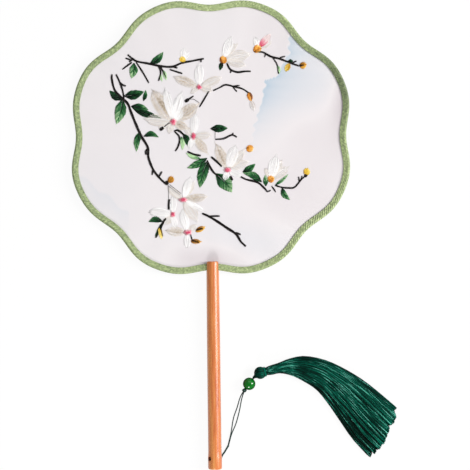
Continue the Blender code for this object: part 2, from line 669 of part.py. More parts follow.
def make_cord_loop(cord, origin, bead_middle):
    """The two strands that run from the loop's knot to the knot under the bead, and on through it."""
    loop = pivot("cord_loop_pivot", origin)
    for side, shares in (("left", LEFT_STRAND_SHARES), ("right", RIGHT_STRAND_SHARES)):
        route = [cord_place(share) - origin for share in shares]
        points = smooth_route(route, STRAND_DIAMETER * CORD_STEP_DIAMETERS)
        tube(f"cord_strand_{side}", points, STRAND_DIAMETER, cord, loop)
    axis = Vector((math.cos(BEAD_HEADING), math.sin(BEAD_HEADING), 0.0))
    knot_reach = (BEAD_DIAMETER + BEAD_KNOT_DIAMETER) / 2 + CLEARANCE
    knot = ball("bead_knot", BEAD_KNOT_DIAMETER, 12, cord, loop)
    knot.location = bead_middle - axis * knot_reach - origin
    knot.rotation_euler = (0.0, 0.0, BEAD_HEADING)
    start = bead_middle - axis * (BEAD_DIAMETER / 2) - origin
    end = bead_middle + axis * (BEAD_DIAMETER / 2 + CLEARANCE) - origin
    points = smooth_route([start, (start + end) / 2, end], CORD_DIAMETER)
    tube("bead_cord", points, BEAD_BORE_DIAMETER - 2 * CLEARANCE, cord, loop)


def make_bead(glass, bead_middle):
    """The round bead with the cord's bore through it."""
    carrier = pivot("bead_axis", bead_middle, BEAD_HEADING)
    bore = math.degrees(math.asin(BEAD_BORE_DIAMETER / BEAD_DIAMETER))
    profile = arc(0.0, BEAD_DIAMETER / 2, 180 - bore, bore, 11)
    turned("bead", profile, 20, glass, carrier, closed=True)


def make_tassel(thread, core, place):
    """The knot, the wound head over its ball, the collar and the skirt, along the tassel's axis."""
    carrier = pivot("tassel_pivot", place, TASSEL_HEADING)
    lean = HEAD_HEADING - TASSEL_HEADING
    head_reach = TASSEL_KNOT_DIAMETER / 2 + CLEARANCE + HEAD_DIAMETER / 2
    middle = Vector((math.cos(lean), math.sin(lean), 0.0)) * head_reach

    core_radius = HEAD_DIAMETER / 2 - HEAD_WALL - CLEARANCE
    stub = BEAD_BORE_DIAMETER / 2 - CLEARANCE
    half_knot = TASSEL_KNOT_DIAMETER / 2
    collar_start = math.sqrt(half_knot**2 - stub**2)
    knot_profile = [(-half_knot, 0), *arc(0.0, half_knot, 150, 60, 4), (collar_start, stub)]
    knot_profile.append((head_reach - core_radius - CLEARANCE, stub))
    knot = turned("tassel_knot", knot_profile, 12, thread, carrier)
    knot.rotation_euler = (0.0, 0.0, lean)

    outer = HEAD_DIAMETER / 2
    inner = outer - HEAD_WALL
    cut = HEAD_CUT_SHARE * outer
    rim_out = math.degrees(math.acos(cut / outer))
    rim_in = math.degrees(math.acos(cut / inner))
    profile = [(-outer, 0), *arc(0.0, outer, 165, rim_out, 9)]
    profile += [*arc(0.0, inner, rim_in, 160, 7), (-inner, 0)]
    head = turned("tassel_head", profile, 20, thread, carrier)
    head.location = middle
    hole_radius = stub + CLEARANCE
    hole_start = head_reach - outer - CLEARANCE
    hole_end = head_reach - core_radius
    hole_profile = [(hole_start, hole_radius), (hole_end, hole_radius)]
    hole = turned("head_hole_cutter", hole_profile, 12, None, carrier)
    hole.rotation_euler = (0.0, 0.0, lean)
    combine(head, hole, "DIFFERENCE")
    ball_core = ball("head_core", 2 * core_radius, 16, core, carrier)
    ball_core.location = middle

    collar = COLLAR_DIAMETER / 2
    near = cut + CLEARANCE
    far = near + COLLAR_WIDTH
    bore = collar - COLLAR_WALL
    soft = COLLAR_WALL / 3
    band = [(near, bore), (near, collar - soft), (near + soft, collar), (far - soft, collar)]
    band += [(far, collar - soft), (far, bore)]
    ring = turned("tassel_collar", band, 20, thread, carrier, closed=True)
    ring.location = middle
    make_skirt(thread, carrier, middle, core_radius + CLEARANCE, bore - CLEARANCE)


def skirt_stations(root, root_radius):
    """Edges and thickness of the skirt at even steps, smooth through its own stations."""
    table = np.array(SKIRT_SHARES) * SKIRT_LENGTH
    table[0] = (root, root_radius, root, -root_radius, 2 * root_radius)
    outer = smooth_route([(*row[:2], row[4]) for row in table], SKIRT_LENGTH / 14)
    inner = smooth_route([(*row[2:4], row[4]) for row in table], SKIRT_LENGTH / 14)
    count = min(len(outer), len(inner))
    pick_outer = np.linspace(0, len(outer) - 1, count).round().astype(int)
    pick_inner = np.linspace(0, len(inner) - 1, count).round().astype(int)
    return outer[pick_outer], inner[pick_inner]


def make_skirt(thread, carrier, middle, root, root_radius):
    """The hanging threads as one fluted bundle that fans out and settles on the surface."""
    outer, inner = skirt_stations(root, root_radius)
    turns = np.linspace(0, 2 * math.pi, 4 * SKIRT_FLUTES, endpoint=False)
    rings = []
    for index, (edge_a, edge_b) in enumerate(zip(outer, inner)):
        share = index / (len(outer) - 1)
        centre = (edge_a[:2] + edge_b[:2]) / 2
        half = (edge_a[:2] - edge_b[:2]) / 2
        across = half / np.linalg.norm(half)
        ahead = np.array([across[1], -across[0]])
        depth = (edge_a[2] + edge_b[2]) / 4
        rest = depth - HEAD_DIAMETER / 2
        settle = min(1.0, 2.5 * share)
        height = rest * settle * settle * (3 - 2 * settle)
        flute = 1 - SKIRT_FLUTE_DEPTH_SHARE * share * (1 - np.cos(2 * SKIRT_FLUTES * turns))
        side = np.cos(turns)
        bow = SKIRT_END_BOW * share**2 * (1 - side**2)
        plan = centre + side[:, None] * half + bow[:, None] * ahead
        rise = height + depth * np.sin(turns) * flute
        rings.append([(*point, float(z)) for point, z in zip(plan, rise)])
    vertices, faces = skin_rings(rings)
    skirt = add_piece("tassel_skirt", vertices, faces, thread, carrier)
    skirt.location = middle


def main():
    """Make the whole fan."""
    clear_scene()
    wood = finish("turned_wood", (0.62, 0.21, 0.07), 0.35)
    wire = finish("hoop_wire", (0.55, 0.56, 0.58), 0.35, 1.0)
    gauze = finish("silk_gauze", (0.85, 0.82, 0.83), 0.6)
    ribbon = finish("brocade_ribbon", (0.37, 0.46, 0.23), 0.6)
    green_cord = finish("green_cord", (0.02, 0.07, 0.06), 0.7)
    green_thread = finish("green_tassel_thread", (0.006, 0.085, 0.06), 0.5)
    mould = finish("wooden_mould", (0.55, 0.38, 0.22), 0.7)
    glass = finish("green_glass", (0.0, 0.12, 0.01), 0.05)
    petal_silk = finish("white_silk_thread", (0.88, 0.85, 0.82), 0.5)
    leaf_silk = finish("green_silk_thread", (0.03, 0.13, 0.05), 0.5)
    branch_silk = finish("brown_silk_thread", (0.05, 0.035, 0.03), 0.6)
    bud_silk = finish("ochre_silk_thread", (0.7, 0.36, 0.05), 0.5)

    make_handle(wood)
    make_hoop(wire)
    make_silk(gauze)
    make_binding(ribbon)
    make_embroidery(petal_silk, leaf_silk, branch_silk, bud_silk)

    axis = Vector((math.cos(BEAD_HEADING), math.sin(BEAD_HEADING), 0.0))
    knot_reach = (BEAD_DIAMETER + BEAD_KNOT_DIAMETER) / 2 + CLEARANCE
    knot_place = cord_place((*BEAD_KNOT_SHARES, 0.0))
    knot_place.z = HEAD_DIAMETER / 2
    bead_middle = knot_place + axis * knot_reach
    tassel_place = bead_middle + axis * (BEAD_DIAMETER / 2 + 2 * CLEARANCE + TASSEL_KNOT_DIAMETER / 2)

    hitch_place = HOLE_MIDDLE + HOLE_AXIS * (HANDLE_BUTT_DIAMETER / 2 + HITCH_STAND_OFF)
    loop_place = cord_place(LOOP_KNOT_SHARES)
    make_tail(green_cord, hitch_place)
    make_neck(green_cord, pivot("hitch_pivot", hitch_place), loop_place)
    make_cord_loop(green_cord, loop_place, bead_middle)
    make_bead(glass, bead_middle)
    make_tassel(green_thread, mould, tassel_place)


main()
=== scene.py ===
"""Looks of a round embroidered hand fan: lacquered wood, silk, brocade, floss, cord and tassel.

Every size is in metres, in the fan's own frame: the face lies in the XY plane, +Z is up and the
handle points to -Y. Motifs on the face are placed in hundredths of the face's radius, measured from
the face's centre.
"""

import json
import math

import bpy
import numpy as np
from bpy.props import FloatProperty, FloatVectorProperty, IntProperty, PointerProperty
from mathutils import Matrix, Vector


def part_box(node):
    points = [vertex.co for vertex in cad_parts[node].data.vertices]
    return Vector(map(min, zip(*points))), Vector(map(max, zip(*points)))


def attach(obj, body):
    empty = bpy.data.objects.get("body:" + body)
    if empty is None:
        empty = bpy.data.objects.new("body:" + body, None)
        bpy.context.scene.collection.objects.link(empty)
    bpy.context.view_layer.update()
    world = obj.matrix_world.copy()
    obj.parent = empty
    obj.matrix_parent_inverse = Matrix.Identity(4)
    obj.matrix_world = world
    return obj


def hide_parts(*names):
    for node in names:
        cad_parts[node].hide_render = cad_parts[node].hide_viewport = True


bl_info = {
    "name": "Round embroidered fan",
    "version": (1, 0, 0),
    "blender": (4, 5, 0),
    "location": "3D View > Sidebar > Fan",
    "description": "Builds the silk, stitching, wood, cord and tassel of a round hand fan",
    "category": "Add Mesh",
}

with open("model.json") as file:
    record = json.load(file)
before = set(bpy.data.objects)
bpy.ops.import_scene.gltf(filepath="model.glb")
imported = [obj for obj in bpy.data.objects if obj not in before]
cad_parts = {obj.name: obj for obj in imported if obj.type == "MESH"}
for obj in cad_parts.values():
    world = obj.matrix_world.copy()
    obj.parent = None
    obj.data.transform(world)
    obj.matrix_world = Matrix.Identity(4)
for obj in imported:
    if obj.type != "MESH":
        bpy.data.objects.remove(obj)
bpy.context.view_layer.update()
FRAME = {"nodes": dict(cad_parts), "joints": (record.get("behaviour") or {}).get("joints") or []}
UP = np.array([0.0, 0.0, 1.0])


def corners(name):
    """Lowest and highest corner of a node of the frame, as arrays."""
    low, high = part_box(name)
    return np.array(low), np.array(high)


def middle(name):
    """Middle of a node's box."""
    low, high = corners(name)
    return (low + high) / 2


def joint_place(name):
    """The point that a joint turns about."""
    found = next(joint for joint in FRAME["joints"] if joint["name"] == name)
    return np.array(found["pos_m"], dtype=float)


# Clearances and sizes shared with the frame
CLEARANCE = 0.0003
FACE_RADIUS = 0.1254
LOBES = 8
LOBE_RISE = 0.0042
LOBE_FLATTENING = 0.0007
FACE_WIDENING = 0.0011
FACE_LEAN = 0.00045
WIRE_DIAMETER = 0.0022
BINDING_WALL = 0.0005
BINDING_WIDTH = 0.0063
BINDING_GAP = 0.0078
RIM_RADIUS_AT_HANDLE = 0.1194
WIRE_INSET = WIRE_DIAMETER / 2 + CLEARANCE + BINDING_WALL
SILK_INSET = WIRE_INSET + WIRE_DIAMETER / 2 + CLEARANCE
HANDLE_BUTT = 0.0126
BEAD_DIAMETER = 0.0112
HEAD_DIAMETER = 0.0112

# Steps along a stitched branch, its shortest stitch, how far the ends of a petal's threads sink
# into the silk, and the lowest that the middle of a skirt thread lies over the floor
BRANCH_STEP = 0.0004
SHORTEST_STITCH = 0.0008
PETAL_SINK = 0.00006
SKIRT_LOWEST = 0.00025

# Places read from the frame
FACE_CENTRE = middle("silk_face")
AXIS_HEIGHT = float(FACE_CENTRE[2])
SILK_TOP = float(corners("silk_face")[1][2])
SILK_THICKNESS = SILK_TOP - float(corners("silk_face")[0][2])
HANDLE_LOW, HANDLE_HIGH = corners("handle")
HANDLE_LENGTH = float(HANDLE_HIGH[1] - HANDLE_LOW[1])
HITCH_PLACE = joint_place("cord_swing")
LOOP_PLACE = joint_place("cord_lift")
BEAD_PLACE = joint_place("bead_spin")
TASSEL_PLACE = joint_place("tassel_swing")
HEAD_PLACE = middle("head_core")

# The slanting cord hole: the point that cord routes are measured from, and how far its bore is off it
HOLE_FROM_BUTT = 0.0092
HOLE_SLANT = math.radians(50.0)
HOLE_MIDDLE = np.array([0.0, HANDLE_LOW[1] + HOLE_FROM_BUTT, AXIS_HEIGHT])
HOLE_AXIS = np.array([math.sin(HOLE_SLANT), 0.0, -math.cos(HOLE_SLANT)])
HOLE_OFFSET = (-0.0006, 0.0006, 0.0)

# Headings from +X: the bead's bore, the tassel, and the line from the tassel's knot to its head
BEAD_HEADING = math.radians(53.0)
TASSEL_HEADING = math.radians(13.0)
HEAD_HEADING = math.radians(35.0)

# Cord routes, as in the frame, in shares of the cord's reach
CORD_REACH = 0.070
NECK_SHARES = [(0.0971, 0.0430, -0.0729), (0.1229, 0.0771, -0.0750), (0.1457, 0.1143, -0.0743)]
LEFT_STRAND_SHARES = [
    (0.1700, 0.1807, -0.0707), (0.1814, 0.2136, -0.0686), (0.1929, 0.2479, -0.0657),
    (0.2100, 0.3190, -0.0693), (0.2260, 0.4200, -0.0820), (0.2500, 0.5470, -0.0810),
    (0.2860, 0.6240, -0.0720), (0.3210, 0.7530, -0.0420), (0.3410, 0.8110, -0.0240),
    (0.3700, 0.8600, -0.0160),
]
RIGHT_STRAND_SHARES = [
    (0.1843, 0.1779, -0.0729), (0.1900, 0.2107, -0.0800), (0.2000, 0.2493, -0.0827),
    (0.2186, 0.3221, -0.0826), (0.2690, 0.4190, -0.0820), (0.3060, 0.5470, -0.0810),
    (0.3260, 0.6240, -0.0720), (0.3490, 0.7510, -0.0420), (0.3610, 0.8060, -0.0240),
    (0.3850, 0.8510, -0.0160),
]

# Skirt edges in shares of its length, from the head's middle along the tassel: the outer edge,
# the inner edge, and the bundle's thickness. How far its trimmed end stands out at each share of
# its half width, and the shares at which its tufts part
SKIRT_LENGTH = 0.125
SKIRT_END = [
    (-1.0, 0.0), (-0.97, 0.0013), (-0.81, 0.0010), (-0.75, 0.0035), (-0.62, 0.0029), (-0.58, 0.0043),
    (-0.485, 0.0049), (-0.41, 0.0046), (-0.28, 0.0059), (-0.085, 0.0049), (0.176, 0.0040),
    (0.325, 0.0023), (0.505, 0.0044), (0.74, 0.0029), (0.89, -0.0015), (1.0, 0.0),
]
SKIRT_TUFTS = [-1.0, -0.81, -0.62, -0.41, -0.12, 0.10, 0.325, 0.60, 0.89, 1.0]
SKIRT_SHARES = [
    (0.037, 0.025, 0.037, -0.025, 0.050),
    (0.080, 0.0328, 0.080, -0.0328, 0.056),
    (0.143, 0.0364, 0.139, -0.0364, 0.060),
    (0.232, 0.048, 0.220, -0.076, 0.062),
    (0.340, 0.040, 0.295, -0.140, 0.057),
    (0.471, -0.019, 0.367, -0.219, 0.052),
    (0.589, -0.109, 0.422, -0.333, 0.046),
    (0.704, -0.222, 0.473, -0.469, 0.041),
    (0.811, -0.357, 0.529, -0.620, 0.036),
    (0.899, -0.487, 0.615, -0.782, 0.032),
]

# Blossoms: node, layer, centre, the heart's width and height as shares of its usual size (or
# none), and each petal's heading in degrees, length, width, thread
BLOSSOMS = [
    ("flower_lower", 1, (-17.5, -68), (1.30, 0.85), [
        (175, 16.5, 7, "cream"), (39, 9, 4.5, "pale"), (-94, 11.5, 5, "white"),
        (104, 17.5, 6.4, "white")]),
    ("flower_lower_left", 2, (-28, -55), (0.85, 0.85), [
        (173, 18, 8, "white"), (-134, 9.5, 6, "pale"), (-79, 10, 4.5, "white"),
        (89, 13.5, 5, "white")]),
    ("flower_lower_upper", 3, (-20.5, -44.5), (1.35, 0.80), [
        (141, 14.5, 5.5, "pale"), (7, 18, 6.5, "cream"), (-57, 19, 8, "pale"),
        (-29, 17.5, 4.2, "white"), (58, 16, 5, "pale"), (71, 17, 5.6, "white")]),
    ("flower_upper_middle", 2, (-8, 36), (0.90, 0.80), [
        (157, 20.5, 7, "cream"), (23, 18, 6.5, "pale"), (-17, 10.5, 5, "pale"),
        (-147, 8, 3.2, "pale"), (89, 17.5, 6.6, "white")]),
    ("flower_large", 2, (-27, 11.5), (1.05, 1.05), [
        (123, 28, 12.5, "cream"), (-157, 12, 5, "pale"), (-26, 12, 6.5, "cream"),
        (34, 23, 9.5, "cream"), (174, 21.5, 8.5, "pale"), (-112, 9.5, 4.6, "pale"),
        (103, 25, 6.2, "white"), (73, 23, 6.4, "white"), (50, 11, 6, "white")]),
    ("flower_middle", 3, (-12.5, 1), (0.85, 1.10), [
        (134, 9, 5, "pale"), (-52, 16.5, 6.5, "cream"), (-108, 10, 5, "white"),
        (4, 13.5, 5.5, "pale"), (84, 17, 6.2, "white")]),
    ("flower_right", 2, (11.5, -23.5), (1.15, 0.85), [
        (113, 21, 8, "cream"), (21, 17.5, 6, "pale"), (-24, 11.5, 5, "white"),
        (-105, 8.5, 4.5, "white"), (49, 20, 6.5, "pale"), (70, 19, 8, "white")]),
    ("flower_top", 2, (9.5, 56), None, [
        (10, 20.5, 8.5, "pale"), (-17, 17.5, 6.5, "pale"), (48, 16, 4.5, "pale"),
        (69, 17.5, 7, "white")]),
    ("flower_top_right", 2, (34.5, 63.5), None, [
        (26, 11.5, 5, "pale"), (104, 8.5, 4.5, "white"), (47, 14, 5, "pink")]),
    ("flower_far_right", 2, (42.5, -30.5), None, [
        (34, 15.5, 7, "pale"), (117, 9.5, 3.5, "pale"), (58, 16.5, 5, "pale"),
        (76, 17.5, 8, "white")]),
    ("flower_small", 2, (-19.5, 56), None, [(80, 8.5, 5, "white"), (46, 7, 3, "white")]),
]

# Branches: node, width of the main line, the main line, and its twigs
BRANCHES = [
    ("branch_top_left", 1.1,
     [(-59, 60), (-55.5, 57), (-52, 55), (-44.5, 53.5), (-35.5, 51.5), (-27, 51),
      (-20.5, 53.5), (-12.5, 55), (-4.5, 56.5)],
     [[(-53, 54.5), (-48.5, 47.5), (-44, 39.5)], [(-37, 51.5), (-35.5, 47), (-37, 41)],
      [(-56, 54.5), (-59.5, 52), (-63, 49.5)], [(-60.5, 57.5), (-56.5, 56)],
      [(-27, 51), (-23.5, 50)], [(-35.5, 51), (-31.5, 43)], [(-6.5, 56), (-6.5, 54)],
      [(-58, 54.8), (-55.5, 56.5)]]),
    ("branch_trunk", 1.3,
     [(-70.5, 46), (-70.5, 42), (-68.5, 34.5), (-64, 29.5), (-59.5, 25), (-57, 18.5),
      (-53.5, 9.5), (-50, 1.5), (-45.5, -6.5), (-45, -14), (-41.5, -23), (-36.5, -29.5),
      (-32, -33.5)],
     [[(-67.5, 46), (-65, 40.5), (-63, 34.5), (-62, 28.5)],
      [(-65, 40.5), (-63, 38.5), (-60.5, 37.5)], [(-42, -22.5), (-42.5, -26.5)],
      [(-37.5, -27.5), (-35.5, -24)], [(-45.5, -7.5), (-47, -9.5), (-46.5, -12)]]),
    ("branch_lower", 1.25,
     [(-7, -54.5), (-2.5, -56.5), (4, -60.5), (10.5, -65), (17, -69.5), (20.5, -75),
      (24, -78.5)],
     [[(-2.5, -56.5), (5.5, -56.5)], [(17, -68.5), (20.5, -70)]]),
    ("branch_right", 1,
     [(21, -28.5), (25, -30.5), (32.5, -32.5), (36.5, -35.5), (40, -39.5)],
     [[(40, -39.5), (42.5, -38.5)]]),
    ("branch_far_right", 0.8,
     [(45.5, -35), (50.5, -36.5), (55.5, -37), (59.5, -36.5), (64, -31.5), (67.5, -28.5)],
     [[(43, -35.5), (44.5, -37.5), (46, -40)], [(64, -31.5), (65, -28.5)]]),
    ("branch_middle", 1.1, [(0, -14), (4, -17.5), (7.5, -21)], []),
    ("branch_middle_left", 1, [(-17, -10), (-12.5, -12), (-7.5, -13)], []),
    ("branch_middle_right", 0.9, [(3, -1.5), (9, -1), (15, 1.5), (18.5, 0)],
     [[(15, 1.5), (16, 3)]]),
    ("branch_upper_middle", 0.8,
     [(2, 33.5), (6.5, 35.5), (11, 37.5), (17.5, 36), (23, 34.5), (27.5, 31.5)],
     [[(16, 36.5), (21, 37)], [(16, 36), (19, 32.5)]]),
    ("branch_top", 1, [(12, 53), (14.5, 48.5), (19.5, 46.5), (24.5, 47), (29, 47)],
     [[(15, 48), (14.5, 46)]]),
    ("branch_top_right", 0.95,
     [(32, 61), (38, 60.5), (43.5, 57.5), (50.5, 55.5), (58, 52.5), (63.5, 50.5)],
     [[(44.5, 57.5), (48, 51.5), (49, 45)], [(40, 59.5), (39, 57)],
      [(50, 56.5), (54, 57.5)], [(58.5, 52.5), (62, 54)]]),
]

# Loose twigs: layer, width and line. Those on layer 5 are stitched over a bud
SMALL_BRANCHES = [
    (0, 1.3, [(-30.5, -44), (-31, -51.5)]),
    (0, 1, [(-3, -16.5), (-1, -21), (1.5, -25), (5, -28)]),
    (0, 1.2, [(13.5, -28), (15, -31)]),
    (0, 0.8, [(-8, 21.8), (-4.2, 28), (-1.2, 33)]),
    (0, 0.3, [(-17, 26.8), (-12.5, 27.3), (-8.2, 24.8)]),
    (0, 0.3, [(2.9, 3.9), (2.8, -1)]),
    (0, 0.3, [(-32, -33.6), (-27.5, -37.5), (-22.5, -41.4)]),
    (0, 0.3, [(-31.3, -34.5), (-31, -44)]),
    (0, 1.9, [(67, -29.2), (68.4, -26.8)]),
    (0, 0.6, [(62.9, -32.5), (62.5, -29)]),
    (0, 1.7, [(-18.3, 25.7), (-15.6, 27.6)]),
    (0, 0.8, [(-16.5, 27), (-12.2, 29.8)]),
    (0, 1, [(-26.4, 4.6), (-24.3, 5.4), (-22, 4.3), (-18.8, 1.3)]),
    (0, 0.9, [(-26, 4.4), (-23.1, 1.3), (-22.6, -2.3), (-23.9, -6.7), (-25.7, -9.6)]),
    (0, 1.7, [(-36.6, 5.6), (-34, 7.6)]),
    (0, 0.6, [(-33.5, 8), (-29.5, 11)]),
    (0, 0.9, [(-34.5, -60), (-38, -67), (-40.5, -71.5)]),
    (0, 1.1, [(-35.5, -61), (-33, -57.5)]),
    (0, 0.3, [(-30.3, -33.6), (-22, -40.2)]),
    (0, 0.6, [(-15.5, -69.5), (-14.5, -73), (-13, -74)]),
    (0, 0.8, [(9, 53.5), (8, 50.5)]),
    (0, 0.8, [(-29, 49), (-20, 46)]),
    (0, 2, [(-32.6, -30.9), (-31.6, -33.6)]),
    (5, 0.5, [(-37.2, -63.5), (-35.4, -70.5)]),
    (5, 0.8, [(-11.3, -66.4), (-6.6, -65.2)]),
    (5, 0.7, [(-14.5, -73.9), (-9.5, -75.2)]),
    (5, 0.9, [(63, 50.5), (67.2, 50.9)]),
]

# Leaves: node (or none), stalk end, tip, width, tone from 0 (darkest) to 1, and sideways bend
LEAVES = [
    ("leaf_top", (-43, 53.5), (-33.5, 61.5), 5, 0.25, -0.10),
    ("leaf_top_left", (-54.5, 54), (-56.5, 43), 6, 0.45, 0.05),
    ("leaf_trunk_upper", (-62, 30.4), (-47.8, 33.3), 6.6, 0.12, -0.05),
    ("leaf_trunk_long", (-63, 28.5), (-67.6, 10.4), 8, 0.42, 0.03),
    ("leaf_trunk_right", (-57, 23), (-35.4, 14.1), 5, 0, -0.05),
    ("leaf_trunk_middle", (-50.5, 5), (-53.5, -9.5), 4.5, 0.35, -0.08),
    ("leaf_trunk_side", (-48.3, 1.2), (-37.6, 0.6), 4, 0.25, 0.20),
    ("leaf_inner", (-20, 3), (-16.8, -5.8), 4.4, 0.15, 0.10),
    ("leaf_centre_left", (-3, -14.8), (-17.3, -21.8), 5.2, 0.35, 0.05),
    ("leaf_centre", (-2.5, -17), (-8.5, -36), 7.5, 0.30, -0.05),
    ("leaf_centre_right", (3, -26), (14.5, -39.5), 10, 0.40, 0.05),
    ("leaf_right", (36, -32.5), (22.5, -25.5), 5, 0.35, -0.10),
    ("leaf_far_right", (50.5, -36.5), (56, -45.5), 4, 0.35, -0.14),
    ("leaf_upper_right", (-0.3, 6.2), (12, 6.4), 5.4, 0.10, 0),
    ("leaf_lower_left", (-35.5, -60), (-45.5, -60), 4.5, 0.20, -0.18),
]
SMALL_LEAVES = [
    (None, (-33.5, 48.5), (-31.5, 41.5), 2.6, 0.9, 0),
    (None, (-36, 46), (-34.5, 40.5), 2, 0.9, 0),
    (None, (-48.2, 26.7), (-46.4, 34.4), 2.8, 0.25, -0.06),
    (None, (-63.5, 27.5), (-72.3, 34.4), 5, 0.05, 0.08),
    (None, (-56.6, 23.2), (-44.7, 20.2), 5, 0.22, 0.04),
    (None, (-21.4, 0.8), (-20.6, -8.8), 3.2, 0.90, 0.06),
    (None, (-8, -15), (-18, -11), 3, 0.9, 0.08),
    (None, (22.5, -25), (31.5, -19.5), 4.5, 0.25, -0.06),
    (None, (39, -35.5), (38.5, -27.5), 3.4, 0.40, 0),
    (None, (45.6, -34.8), (55, -27.2), 2.2, 0.5, -0.04),
    (None, (-35.5, -60.5), (-41, -70.5), 1.8, 0, 0),
    (None, (48, 51), (49.5, 45), 2, 0.92, 0.12),
    (None, (55.5, 53.5), (59.5, 54), 3.5, 0.1, 0),
    (None, (8.5, 54), (7, 48), 3, 0.05, 0),
]

# Buds and the coloured bases of flowers: node (or none), base, tip, width, thread
BUDS = [
    ("bud_top_right", (64.2, 50.2), (69.4, 51.4), 5, "ochre"),
    ("bud_middle", (25, -8.6), (30.8, -8.2), 5.2, "orange"),
    ("bud_trunk", (-31, -32), (-27.2, -27.8), 4.5, "ochre"),
    ("bud_far_right", (67.5, -28.2), (69.3, -22.7), 4.6, "yellow"),
]
SMALL_BUDS = [
    (None, (57, 52.5), (54, 46.5), 3.8, "yellow"),
    (None, (27.2, 32.5), (29.3, 25.6), 4, "orange"),
    (None, (28.8, 26.3), (31.5, 18.5), 3.4, "white"),
    (None, (-12.2, -67.6), (-5, -64.2), 3.6, "ochre"),
    (None, (-16, -74.2), (-7.8, -74.8), 3.4, "ochre"),
    (None, (-38.2, -63.7), (-36.1, -72.8), 2.8, "yellow"),
    (None, (9.3, 52.4), (9.6, 58.6), 5.4, "orange"),
    (None, (31.2, 60.8), (36.8, 65.5), 5, "orange"),
    (None, (42.3, -33.2), (43, -27.2), 4.8, "orange"),
    (None, (-20.5, 54), (-18.8, 58.5), 5, "yellow"),
]

# Petals of sheer and of close threads: pitch as a share of the satin pitch, bluntness and skew of the
# outline, height at the sides, what the middle adds to it, and width of a thread as such a share
SHEER_PETAL = (1.15, 0.72, 1.10, 0.00008, 0.00004, 1.15)
CLOSE_PETAL = (1.0, 0.62, 1.20, 0.00012, 0.00010, 1.3)

# The ink pool on the silk, in millimetres: height, edge at that height, and how strong the ink is
INK_POOL = [
    (60, 28, 0.0), (84, 36, 0.12), (95, 39, 0.25), (111, 42, 0.5), (120, 47, 0.75), (133, 48, 1.0),
    (138, 49, 1.0), (140, 54, 1.0), (143, 61, 0.9), (154, 66, 0.7), (163, 70, 0.8), (180, 72, 0.7),
    (200, 75, 0.2),
]

# Silk threads: lustre, how far the tone strays, and the darkest tone, the lightest and those between
FLOSS_TONES = {
    "white": (0.35, 0.25, [(0.0, "#d5ccc7"), (1.0, "#ffffff"), (0.45, "#f3f0ef")]),
    "cream": (0.35, 0.8, [(0.0, "#b3a084"), (1.0, "#f8f4f0"), (0.45, "#e2d6c7")]),
    "pale": (0.35, 0.35, [(0.0, "#c7b59b"), (1.0, "#fcfaf8"), (0.45, "#e8ddd1")]),
    "pink": (0.35, 0.2, [(0.0, "#a81f42"), (1.0, "#fbe9e8"), (0.40, "#d6466c"), (0.72, "#f0a2b0")]),
    "orange": (0.35, 0.7, [(0.0, "#7a4412"), (1.0, "#ffdf90"), (0.35, "#d98a28"), (0.65, "#efa83e")]),
    "ochre": (0.35, 0.5, [(0.0, "#7a4a10"), (1.0, "#f3c45c"), (0.5, "#d0902a")]),
    "yellow": (0.35, 0.2, [(0.0, "#b8860f"), (1.0, "#fff0a0"), (0.5, "#efcb45")]),
    "leaf": (0.12, 0.2, [(0.0, "#06140b"), (1.0, "#b4d6a6"), (0.28, "#123a20"), (0.55, "#2f6d3c")]),
    "bark": (0.15, 0.2, [(0.0, "#080707"), (1.0, "#81766f"), (0.6, "#241f1e")]),
    "tassel": (0.06, 0.14, [(0.0, "#000805"), (1.0, "#6fd0ba"), (0.40, "#003a2e"), (0.72, "#0a7a62")]),
    "cord": (0.1, 0.2, [(0.0, "#071f1a"), (1.0, "#9fb3ad"), (0.5, "#48665f")]),
}


def hole_route(shares):
    """The points of a cord's route."""
    return HOLE_MIDDLE + CORD_REACH * np.array(shares)


def srgb(code):
    """Linear colour of an sRGB hex value such as #a0b1c2."""
    values = [int(code[at:at + 2], 16) / 255 for at in (1, 3, 5)]
    return tuple(v / 12.92 if v <= 0.04045 else ((v + 0.055) / 1.055) ** 2.4 for v in values)


def unit(vectors):
    """Vectors shrunk or drawn out to a length of 1."""
    return vectors / np.linalg.norm(vectors, axis=-1, keepdims=True)


def circle(count):
    """Even turns round a circle."""
    return np.arange(count) * math.tau / count


def bell(value, centre, spread):
    """A curve that is 1 at its centre: e^(-((value - centre) / spread)^2)."""
    return np.exp(-(((value - centre) / spread) ** 2))


def smooth_step(share):
    """A share eased at both ends: 3 s^2 - 2 s^3."""
    return share**2 * (3 - 2 * share)


def turned(points, heading):
    """Points turned by a heading about the upright axis."""
    x, y = points[..., 0], points[..., 1]
    cos, sin = math.cos(heading), math.sin(heading)
    return np.stack([x * cos - y * sin, x * sin + y * cos, *np.moveaxis(points[..., 2:], -1, 0)], axis=-1)


def ahead_of(heading):
    """The level unit vector of a heading."""
    return np.array([math.cos(heading), math.sin(heading), 0.0])


def lathe(x, r, turn, heading, place):
    """Points at x along a heading and r from its line: (x, r cos t, r sin t), turned and placed."""
    rings = np.broadcast_arrays(x, r * np.cos(turn), r * np.sin(turn))
    return turned(np.stack(rings, axis=-1), heading) + place


def travelled(line):
    """How far along a line each of its points is."""
    return np.concatenate([[0.0], np.cumsum(np.linalg.norm(np.diff(line, axis=0), axis=1))])


def read_at(wanted, known, table):
    """The rows of a table, which belong to known values, read at wanted ones."""
    return np.stack([np.interp(wanted, known, column) for column in table.T], axis=-1)


